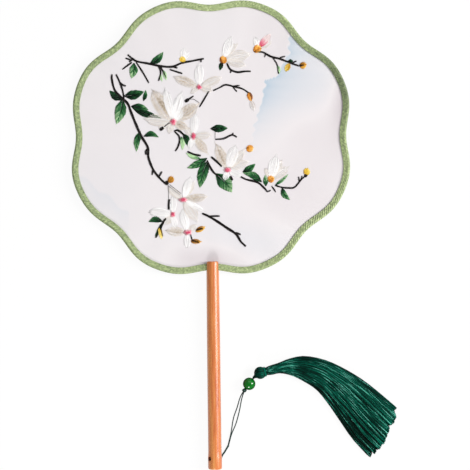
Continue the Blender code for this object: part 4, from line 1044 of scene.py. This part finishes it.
class FAN_OT_cord(bpy.types.Operator):
    """Make the twisted cord, from its stopper knot to the cord in the bead"""

    bl_idname = "fan.cord"
    bl_label = "Cord"

    def execute(self, context):
        rng = np.random.default_rng(5)
        cord = [finish_of("cord")]
        strand, lay = context.scene.fan_sizes.strand_diameter, context.scene.fan_sizes.cord_lay
        step, doubled, threaded = 0.0003, 0.0017, 0.0018
        stopper_size, hitch_size, loop_size, bead_knot_size = 0.0030, 0.0020, 0.0021, 0.0040
        stopper = middle("stopper_knot")
        tail_path = stopper + (HITCH_PLACE - stopper) * np.linspace(0.1, 1, 40)[:, None]
        tail = piece("cord_tail_plies", [plied(tail_path, doubled, 2 * lay, rng, 0.0)], cord, "fan",
                     ["cord_tail"])
        neck_path = even_line([HITCH_PLACE, *hole_route(NECK_SHARES), LOOP_PLACE], step)
        tone = 0.14 + 0.12 * np.linspace(0, 1, len(neck_path))
        neck = piece("cord_neck_plies", [plied(neck_path, doubled, 2 * lay, rng, tone)], cord,
                     "cord_neck", ["cord_neck"])
        knots = [
            knot("stopper_knot", "fan", stopper, stopper_size, math.pi / 2 - HOLE_SLANT, 0.0),
            knot("hitch_knot", "cord_neck", HITCH_PLACE, hitch_size, math.radians(60.0)),
            knot("loop_knot", "cord_neck", LOOP_PLACE, loop_size, math.radians(75.0), 0.25),
        ]
        bead_knot = knot("bead_knot", "cord_loop", middle("bead_knot"), bead_knot_size, BEAD_HEADING, 0.05)
        enters, leaves = -0.0060, 0.0068
        inner = BEAD_PLACE + ahead_of(BEAD_HEADING) * np.linspace(enters, leaves, 40)[:, None]
        inside = piece("bead_cord_plies", [plied(inner, threaded, lay, rng, 0.1)], cord, "cord_loop",
                       ["bead_cord"])
        for side, shares, others in (
            ("left", LEFT_STRAND_SHARES, [tail, neck, *knots]),
            ("right", RIGHT_STRAND_SHARES, [bead_knot, inside]),
        ):
            path = even_line(hole_route(shares), step)
            first = 0.6 * LOOP_PLACE + 0.4 * path[0]
            last = 0.6 * middle("bead_knot") + 0.4 * path[-1]
            path = eased(even_line([first, *path[6:-6:7], last], step), 30)
            length, fade = float(travelled(path)[-1]), 0.0035
            left = length - step * np.arange(len(path))
            tone = 0.02 - 0.05 * np.clip(1.6 - left / fade, 0, 1)
            plies = plied(path, 1.15 * strand, lay, rng, tone, fullness=0.78)
            made = piece(f"cord_strand_{side}_plies", [plies], cord, "cord_loop",
                         [f"cord_strand_{side}"])
        return {"FINISHED"}


class FAN_OT_bead(bpy.types.Operator):
    """Make the polished glass bead"""

    bl_idname = "fan.bead"
    bl_label = "Bead"

    def execute(self, context):
        radius, bore = BEAD_DIAMETER / 2, 0.0022 / 2
        lip = math.asin(bore / radius)
        polar = np.linspace(lip, math.pi - lip, 64)[:, None]
        rings = lathe(-radius * np.cos(polar), radius * np.sin(polar), circle(96), BEAD_HEADING, BEAD_PLACE)
        skin = surface(rings[:, ::-1], closed=True)
        made = piece("glass_bead", [skin], [finish_of("glass")], "bead", ["bead"])
        made.data.set_sharp_from_angle(angle=math.radians(50.0))
        return {"FINISHED"}


def skirt_lines(side, high, wander, cut, count=24):
    """Threads of the skirt. At each station a thread keeps its shares of the bundle's half width and
    half thickness, but rises and sinks among the others; it leaves the collar, sinks to the surface
    and ends near the trimmed edge. Shares and wanderings are columns, one row for each thread."""
    reach, drift, rate, phase, speed = wander
    share = np.linspace(0, 1, count) * cut
    table = smooth_lines(np.array(SKIRT_SHARES)[None] * SKIRT_LENGTH, 200)[0]
    station = read_at(share, np.linspace(0, 1, 200), table)
    centre = (station[..., :2] + station[..., 2:4]) / 2
    half = (station[..., :2] - station[..., 2:4]) / 2
    ahead = turned(unit(half), -math.pi / 2)
    tufts = np.array(SKIRT_TUFTS)
    tuft = np.clip(np.searchsorted(tufts, side) - 1, 0, len(tufts) - 2)
    gather = (tufts[tuft] + tufts[tuft + 1]) / 2 - side
    lateral = side + 0.15 * gather * share**8 + reach * share * np.sin(drift + share * rate)
    lateral = np.clip(lateral, -1.02, 1.02)
    weave = high + 0.12 * np.sin(phase + share * speed)
    depth = station[..., 4] / 2
    settled = (depth - HEAD_DIAMETER / 2) * smooth_step(np.clip(2.5 * share, 0, 1))
    bow = np.interp(side, *np.array(SKIRT_END).T) * share**3
    plan = centre + lateral[..., None] * half + bow[..., None] * ahead
    rise = settled + depth * np.clip(weave, -1, 1) * np.sqrt(np.clip(1 - lateral**2, 0.02, 1.0))
    flat = turned(plan, TASSEL_HEADING) + HEAD_PLACE[:2]
    over_floor = np.maximum(rise + HEAD_PLACE[2], SKIRT_LOWEST)
    return np.concatenate([flat, over_floor[..., None]], axis=-1)


class FAN_OT_tassel(bpy.types.Operator):
    """Make the tassel: its knot, thread-covered head, wound collar and skirt"""

    bl_idname = "fan.tassel"
    bl_label = "Tassel"

    def execute(self, context):
        rng = np.random.default_rng(11)
        self.head(rng)
        self.collar(rng)
        self.skirt(context.scene.fan_sizes, rng)
        return {"FINISHED"}

    def part(self, name, parts, nodes=()):
        """One piece of the tassel."""
        piece(f"tassel_{name}", parts, [finish_of("tassel")], "tassel", nodes)

    def head(self, rng):
        """Threads laid over the ball from pole to collar, and the knot where the cord enters."""
        radius, thread, count = HEAD_DIAMETER / 2, 0.00036, 150
        dome_inset, thread_inset, pole, brim = 0.0004, 0.00022, 0.06, math.acos(-0.74)
        dome = globe(HEAD_PLACE, radius - dome_inset, 24, 48, brim, TASSEL_HEADING)
        turn = circle(count) + rng.uniform(-0.01, 0.01, count)
        polar = np.linspace(pole, brim, 16)
        sway = 0.05 * np.sin(polar * 2.0 + rng.uniform(0, math.tau, count)[:, None])
        reach = radius - thread_inset
        lines = lathe(-reach * np.cos(polar), reach * np.sin(polar), turn[:, None] + sway, TASSEL_HEADING,
                      HEAD_PLACE)
        # The last term paints a lighter band towards the collar, as a highlight on the threads
        tint = 0.28 + rng.uniform(-0.20, 0.20, count)[:, None] + 0.16 * bell(polar, 1.9, 0.25)
        wraps = threads(lines, thread, thread, sides=5, tint=tint)
        self.part("head_threads", [dome, wraps], ["tassel_head"])
        size, lay = 0.0025, 0.0060
        knot("tassel_knot", "tassel", TASSEL_PLACE, size, HEAD_HEADING, 0.1, "tassel")
        stub = TASSEL_PLACE + ahead_of(HEAD_HEADING) * np.linspace(0.0004, 0.0034, 12)[:, None]
        thick = np.linspace(0.0026, 0.0056, 12)
        plies = ply_lines(stub, 5, (thick * 0.3)[:, None], lay)
        self.part("stub_plies", [threads(plies, thick * 0.4, thick * 0.4, sides=8, tint=0.12)])

    def collar(self, rng):
        """Thread wound round the neck: a band whose section has a rise for each turn."""
        near, width, radius, wall = 0.6 * HEAD_DIAMETER / 2 + CLEARANCE, 0.0015, 0.0090 / 2, 0.0010
        turn, winds, groove, lean = circle(72), 5, wall * 0.28, 0.00012
        across = np.linspace(0, 1, 41)
        rise = groove * np.abs(np.sin(across * winds * math.pi)) ** 0.6
        x = np.concatenate([near + width * across, [near + width, near]])[:, None]
        r = np.concatenate([radius - groove + rise, [radius - wall] * 2])[:, None]
        tint = 0.62 + rng.uniform(-0.1, 0.1, len(turn))
        rings = lathe(x + lean * np.sin(turn), r, turn, TASSEL_HEADING, HEAD_PLACE)
        self.part("collar_winding", [surface(rings[:, ::-1], closed=True, tint=tint)], ["tassel_collar"])

    def skirt(self, sizes, rng):
        """Threads spread over the bundle's section: locks, each with its own tone and drift, over a
        straight filling painted darker as shade. A thread has a painted glint where it comes up among
        its neighbours; the outer edge is painted lighter and the inner edge, the neck and the partings
        between tufts darker, as light and shade; and tufts part at the end."""
        rows, locks = (sizes.tassel_threads, 1), 60
        side = np.clip(rng.uniform(-1, 1, rows), -0.99, 0.99)
        lock = np.floor((side + 1) / 2 * locks).astype(int) + rng.integers(0, 2, rows)
        depth = rng.uniform(-1, 1, rows)
        filling = rng.uniform(0, 1, rows) < 0.5
        high = np.sign(depth) * np.abs(depth) ** 0.45 * np.where(filling, 0.82, 1.0)
        lock_tone, phase, drift, reach, rate = (
            rng.uniform(low, top, locks + 2)[lock]
            for low, top in ((-0.20, 0.20), (0, math.tau), (0, math.tau), (0.01, 0.06), (2.0, 7.0)))
        drift = drift + rng.uniform(-0.35, 0.35, rows)
        phase = phase + rng.uniform(-2.6, 2.6, rows)
        speed = rng.uniform(16, 26, rows)
        cut = 1.0 - rng.uniform(0, 0.018, rows)
        lines = skirt_lines(side, high, (np.where(filling, 0.006, reach), drift, rate, phase, speed), cut)
        share = np.linspace(0, 1, lines.shape[1])
        # Painted light: the outer edge lighter and the inner edge darker, and the filling underneath
        # darker, as shade
        tint = 0.335 + lock_tone + rng.uniform(-0.28, 0.28, rows) + 0.15 * side - 0.16 * filling
        # Painted glints where a thread comes up among its neighbours
        painted_glint = rng.uniform(0.5, 1.3, rows) * ((rng.uniform(0, 1, rows) > 0.68) & ~filling)
        painted_glint = painted_glint * np.clip(np.sin(phase + share * speed), 0, 1) ** 4
        # Painted shade in the partings between tufts, towards the end
        parting = np.abs(side - np.array(SKIRT_TUFTS)[1:-1]).min(axis=1, keepdims=True)
        tint = tint + painted_glint - 0.30 * share**3 * bell(parting, 0, 0.05)
        tint = tint + 0.20 * share**10 * (rng.uniform(0, 1, rows) > 0.4)
        # Painted shade near the collar, most at the bundle's edges
        tint = tint - bell(share, 0, 0.17) * (0.26 + 0.30 * np.abs(side) ** 3)
        # Painted shade along the inner edge from the middle of the skirt on
        tint = tint - 0.12 * (side < -0.6) * np.clip((share - 0.45) / 0.15, 0, 1)
        band = np.clip((side + 0.75) / 0.4, 0, 1) * bell(share, 0.43, 0.07)
        tint = tint - band * (0.22 + 0.8 * painted_glint)
        swell = sizes.tassel_thread * (0.8 + 0.2 * share) * np.where(filling, 1.4, 1.0)
        third = np.digitize(side[:, 0], [-1 / 3, 1 / 3])
        for name, number in (("outer", 2), ("middle", 1), ("inner", 0)):
            chosen = third == number
            laid = threads(lines[chosen], swell[chosen], swell[chosen], tint=tint[chosen])
            self.part(f"skirt_{name}", [laid], ["tassel_skirt"])


class FAN_OT_handle(bpy.types.Operator):
    """Make the turned handle, and finish the hoop and the tassel's mould"""

    bl_idname = "fan.handle"
    bl_label = "Handle and hidden pieces"

    def execute(self, context):
        top, mid, butt = 0.0113 / 2, 0.0120 / 2, HANDLE_BUTT / 2
        foot_round, head_round, half_way = 0.0016, 0.0010, HANDLE_LENGTH / 2
        flare_start, flare_end, shaft_start = 0.0095, 0.0167, 0.020
        quarter = np.linspace(0, math.pi / 2, 9)
        tip = quarter[1:]
        flare = np.linspace(flare_start, flare_end, 14)
        eased_in = smooth_step((flare - flare_start) / (flare_end - flare_start))
        upper = np.linspace(half_way, HANDLE_LENGTH - head_round, 24)[1:]
        profile = np.concatenate([np.stack(part, axis=1) for part in (
            (foot_round * (1 - np.cos(quarter)), butt - foot_round * (1 - np.sin(quarter))),
            (flare, butt + (mid - butt) * eased_in),
            (np.linspace(shaft_start, half_way, 12), np.full(12, mid)),
            (upper, np.interp(upper, [upper[0], upper[-1]], [mid, top])),
            (HANDLE_LENGTH - head_round * (1 - np.sin(tip)), top - head_round * (1 - np.cos(tip))),
        )])
        turn = circle(128)
        along, out = profile[:, :1], profile[:, 1:]
        rings = (out * np.cos(turn), along + HANDLE_LOW[1], out * np.sin(turn) + AXIS_HEIGHT)
        skin = surface(np.stack(np.broadcast_arrays(*rings), axis=-1))
        made = piece("turned_handle", [skin], [finish_of("wood")], "fan", ["handle"])
        self.cut(made)
        made.data.shade_smooth()
        made.data.set_sharp_from_angle(angle=math.radians(38.0))
        for name, finish in (("hoop", "wire"), ("head_core", "limewood")):
            node = FRAME["nodes"][name]
            node.data.materials.clear()
            node.data.materials.append(finish_of(finish))
        return {"FINISHED"}

    def cut(self, stick):
        """Cut the rim's slot, its socket and the slanting cord hole, then drop the cutters."""
        wire_y = float(corners("hoop")[0][1])
        slot_half, slot_rise, slot_floor = 0.008, WIRE_INSET + CLEARANCE, -0.0322638
        socket_rise, overlap, spare = WIRE_DIAMETER / 2 + CLEARANCE, 0.001, 0.002
        socket_half = (WIRE_DIAMETER + CLEARANCE) / 2 + socket_rise
        cutters = []
        for half, low, high, rise in (
            (slot_half, slot_floor, HANDLE_HIGH[1] + spare, slot_rise),
            (socket_half, wire_y - CLEARANCE, slot_floor + overlap, socket_rise),
        ):
            bpy.ops.mesh.primitive_cube_add(size=1.0)
            cutter = bpy.context.object
            cutter.scale = (2 * half, high - low, 2 * rise)
            cutter.location = (0.0, (low + high) / 2, AXIS_HEIGHT)
            cutters.append(cutter)
        bore, mouth, reach, deep = 0.0044 / 2, 0.0050 / 2, HANDLE_BUTT / 2, 0.0004
        along = np.array([-reach - spare, -reach, -reach + deep, reach - deep, reach, reach + spare])
        out = np.array([mouth, mouth, bore, bore, mouth, mouth])
        turn = circle(48)[:, None]
        sideways = np.array([0.0, 1.0, 0.0])
        ring = np.cos(turn) * sideways + np.sin(turn) * np.cross(sideways, HOLE_AXIS)
        rings = HOLE_MIDDLE + HOLE_OFFSET + along[:, None, None] * HOLE_AXIS + out[:, None, None] * ring
        points, groups = surface(rings)[:2]
        shell = bpy.data.meshes.new("hole_cutter")
        shell.from_pydata(points.tolist(), [], [face for group in groups for face in group.tolist()])
        cutters.append(placed("hole_cutter", shell))
        bpy.context.view_layer.objects.active = cutters[-1]
        for cutter in cutters:
            change = stick.modifiers.new("cut", "BOOLEAN")
            change.operation, change.solver, change.object = "DIFFERENCE", "EXACT", cutter
        bpy.context.view_layer.update()
        ready = stick.evaluated_get(bpy.context.evaluated_depsgraph_get())
        stick.data = bpy.data.meshes.new_from_object(ready)
        stick.modifiers.clear()
        for cutter in cutters:
            bpy.data.objects.remove(cutter, do_unlink=True)


def ink(plan):
    """The wash at each place: 0.25 is bare silk, 1 is full blue ink and 0 is painted warm shade. A pool
    with a dried edge lies on the right, and faint stains low on the left and at the foot of the face.
    Painted shade darkens the right side, the right rim, a patch at the upper right and the foot by the
    handle."""
    x, y = plan[..., 0] * 1000, plan[..., 1] * 1000
    ragged = 1.3 * np.sin(y / 2.3) * np.sin(y / 5.1 + 1.0) + 0.8 * np.sin(y / 1.3 + x / 9)
    heights, edges, forces = np.array(INK_POOL).T
    deep = x - np.interp(y, heights, edges) - ragged
    force = np.interp(y, heights, forces) * np.clip(deep / 1.1, 0, 1)
    deep = np.clip(deep, 0, None)
    pool = force * (0.50 * np.exp(-deep / 90) + 0.50 * np.exp(-deep / 9) + 0.28 * np.exp(-deep / 1.6))
    left_edge = 55 - 0.80 * (x + 117) + 2.0 * np.sin(x / 3.1) - y
    left = 0.15 * np.clip(left_edge / 1.5, 0, 1) * np.exp(-np.clip(left_edge, 0, None) / 14) * (x < -75)
    foot = 0.16 * bell(x, 35, 45) * bell(y, -8, 20)
    cloud = 0.05 * (np.sin(x / 17 + 1) * np.sin(y / 23) + 1) / 2
    # Painted shade: darker towards the right, a painted shadow along the right rim and at the upper right,
    # and one at the foot of the face by the handle
    painted_warm_shade = 0.08 * np.clip((x + 10) / 110, 0, 1) + 0.26 * bell(x, 122, 13) * bell(y, 122, 34)
    painted_warm_shade = painted_warm_shade + 0.05 * bell(x, 80, 22) * bell(y, 96, 18) + 0.18 * bell(x, -5, 32) * bell(y, -22, 14)
    return np.clip(0.25 + 0.75 * (pool + left + foot + cloud) - painted_warm_shade, 0, 1)


class FAN_OT_face(bpy.types.Operator):
    """Make the silk and its folded brocade binding"""

    bl_idname = "fan.face"
    bl_label = "Silk and binding"

    def execute(self, context):
        self.silk()
        self.binding()
        return {"FINISHED"}

    def silk(self):
        """Taut silk: point = centre + s rim(t), with slight pull waves that fade to the middle."""
        turn, half, pull = circle(420), 0.00008, 0.00012
        share = np.concatenate([[0.002], np.linspace(0, 1, 89)[1:]])[:, None]
        plan = share[..., None] * (rim_points(turn, SILK_INSET) - FACE_CENTRE[:2]) + FACE_CENTRE[:2]
        wave = pull * share**5 * np.sin(24 * turn + 1.3 * np.sin(3 * turn))
        front, back = (np.concatenate([plan, (AXIS_HEIGHT + wave + step)[..., None]], axis=-1)
                       for step in (half, -half))
        # Ink on the silk together with painted shade
        ink_and_painted_shade = ink(plan)
        skin = surface(np.concatenate([front, back[::-1]]), tint=np.concatenate([ink_and_painted_shade, ink_and_painted_shade[::-1]]))
        cloth = piece("silk_sheet", [skin], [finish_of("organza")], "fan", ["silk_face"])

    def binding(self):
        """Folded ribbon: its section goes from the inner edge on top, over the wire and back below,
        carried round the rim with small slanting puckers."""
        inner = WIRE_DIAMETER / 2 + CLEARANCE
        outer = inner + BINDING_WALL
        flap = SILK_THICKNESS / 2 + CLEARANCE
        bend = np.linspace(math.pi / 2, 3 * math.pi / 2, 13)
        arc = np.stack([np.cos(bend), np.sin(bend)], axis=1)
        wire = (WIRE_INSET, 0.0)
        flat = np.linspace(BINDING_WIDTH, WIRE_INSET, 9)[:-1]
        ease = (BINDING_WIDTH - flat) / (BINDING_WIDTH - WIRE_INSET)
        top = np.stack([flat, flap + BINDING_WALL + (inner - flap) * ease**1.4], axis=1)
        outside = np.concatenate([top, wire + outer * arc, top[::-1] * (1, -1)])
        rim = np.array([(BINDING_WIDTH, flap)])
        inside = np.concatenate([rim, wire + inner * arc, rim * (1, -1)])[::-1]
        section = np.concatenate([outside, inside])
        start = math.asin(BINDING_GAP / 2 / RIM_RADIUS_AT_HANDLE)
        turn = np.linspace(start, math.tau - start, 1500)[:, None]
        gone = travelled(rim_points(turn[:, 0], 0.0))[:, None]
        step = travelled(outside)
        back = np.interp(inside[:, 0] * np.sign(inside[:, 1] + 1e-9), [-1, 1], [step[-1], 0.0])
        across = np.concatenate([step, back])
        pitch, lift = 0.0027, 0.00015
        wave = np.sin(math.tau * (gone + 0.9 * across) / pitch + 1.2 * np.sin(gone / 0.021))
        mask = 0.45 + 0.55 * np.sin(gone / 0.013 + 1.7 * np.sin(gone / 0.031))
        gathered = 0.35 * np.clip(mask, 0, 1) + 0.75 * bell(turn, 0.95, 0.40)
        folds = wave * gathered * (np.arange(len(section)) < len(outside))
        x, z = section.T
        height = z + lift * folds * np.sign(z) * (np.abs(z) > 0.0005)
        uneven = (0.00032 - 0.00059 * np.sin(turn)) * np.sin(LOBES * turn)
        inset = x * (0.955 + 0.045 * (x < 0.0045)) - 0.7 * uneven
        plan = rim_points(turn, inset)
        points = np.concatenate([plan, (AXIS_HEIGHT + height)[..., None]], axis=-1)
        uv = np.stack(np.broadcast_arrays(gone, across), axis=-1)
        # Painted shade, not the ribbon's colour: lighter and darker along the puckers as they face the
        # light, a painted shadow on the upper right of the rim and a darker left half; it is also made
        # lighter at the top
        shade = 0.45 + 0.32 * folds - 0.36 * bell(turn, 1.97, 0.30) + 0.08 * bell(turn, math.pi, 0.30)
        shade = shade - 0.11 * np.clip(-np.sin(turn), 0, 1)
        made = piece("brocade_binding", [surface(points, uv=uv, tint=shade)], [finish_of("brocade")], "fan",
                     ["edge_binding"])


class FAN_OT_branches(bpy.types.Operator):
    """Stitch the branches and their twigs"""

    bl_idname = "fan.branches"
    bl_label = "Branches"

    def execute(self, context):
        motifs = [(seed, node, 0, "bark", *needs) for seed, (node, *needs) in enumerate(BRANCHES, 510)]
        motifs += [(seed, None, layer, "bark", width, line, ())
                   for seed, (layer, width, line) in enumerate(SMALL_BRANCHES, 550)]
        stitch("small_twigs", branch_threads, motifs)
        return {"FINISHED"}


class FAN_OT_leaves(bpy.types.Operator):
    """Stitch the leaves"""

    bl_idname = "fan.leaves"
    bl_label = "Leaves"

    def execute(self, context):
        leaves = enumerate([*LEAVES, *SMALL_LEAVES], 310)
        motifs = [(seed, node, 1, "leaf", *needs) for seed, (node, *needs) in leaves]
        stitch("small_leaves", leaf_threads, motifs)
        return {"FINISHED"}


class FAN_OT_blossoms(bpy.types.Operator):
    """Stitch the blossoms, each petal a little over the one before, and their hearts"""

    bl_idname = "fan.blossoms"
    bl_label = "Blossoms"

    def execute(self, context):
        sizes, overlap = context.scene.fan_sizes, 0.00003
        for seed, (node, layer, centre, heart, petals) in enumerate(BLOSSOMS, 210):
            parts, finishes, hearts = [], [], []
            for base, side_up in both_sides(layer):
                rng = np.random.default_rng(seed)
                for number, petal in enumerate(petals):
                    raised = base + side_up * overlap * number
                    parts.append(petal_threads(centre, petal, raised, side_up, sizes, rng))
                    finishes.append(finish_of(petal[3]))
                if heart:
                    raised = base + side_up * overlap * len(petals)
                    hearts += heart_threads(centre, heart, raised, side_up, sizes, rng)
            piece(f"{node}_petals", parts, finishes, "fan", [node])
            if hearts:
                piece(f"{node}_heart", hearts, [finish_of("pink")], "fan")
        return {"FINISHED"}


class FAN_OT_buds(bpy.types.Operator):
    """Stitch the buds and the coloured bases of the flowers"""

    bl_idname = "fan.buds"
    bl_label = "Buds"

    def execute(self, context):
        buds = enumerate([*BUDS, *SMALL_BUDS], 410)
        motifs = [(seed, node, 3, finish, *needs) for seed, (node, *needs, finish) in buds]
        stitch("small_buds", bud_threads, motifs)
        return {"FINISHED"}


class FAN_PT_panel(bpy.types.Panel):
    """The fan's operators, sizes and colours in the 3D view's sidebar"""

    bl_idname = "FAN_PT_panel"
    bl_label = "Round embroidered fan"
    bl_space_type = "VIEW_3D"
    bl_region_type = "UI"
    bl_category = "Fan"

    def draw(self, context):
        for maker in MAKERS:
            self.layout.operator(maker.bl_idname)
        for group in (context.scene.fan_sizes, context.scene.fan_colours):
            for name in group.__annotations__:
                self.layout.prop(group, name)


MAKERS = (FAN_OT_stage, FAN_OT_cord, FAN_OT_bead, FAN_OT_tassel, FAN_OT_handle, FAN_OT_face,
          FAN_OT_branches, FAN_OT_leaves, FAN_OT_blossoms, FAN_OT_buds)
CLASSES = (FanSizes, FanColours, *MAKERS, FAN_PT_panel)


def register():
    """Register the classes and hang the property groups on the scene."""
    for kind in CLASSES:
        bpy.utils.register_class(kind)
    bpy.types.Scene.fan_sizes = PointerProperty(type=FanSizes)
    bpy.types.Scene.fan_colours = PointerProperty(type=FanColours)


def unregister():
    """Remove the property groups and the classes."""
    del bpy.types.Scene.fan_colours
    del bpy.types.Scene.fan_sizes
    for kind in reversed(CLASSES):
        bpy.utils.unregister_class(kind)


def main():
    """Make every piece."""
    register()
    bpy.ops.fan.stage()
    bpy.ops.fan.cord()
    bpy.ops.fan.bead()
    bpy.ops.fan.tassel()
    bpy.ops.fan.handle()
    bpy.ops.fan.face()
    bpy.ops.fan.branches()
    bpy.ops.fan.leaves()
    bpy.ops.fan.blossoms()
    bpy.ops.fan.buds()


if __name__ == "__main__":
    main()
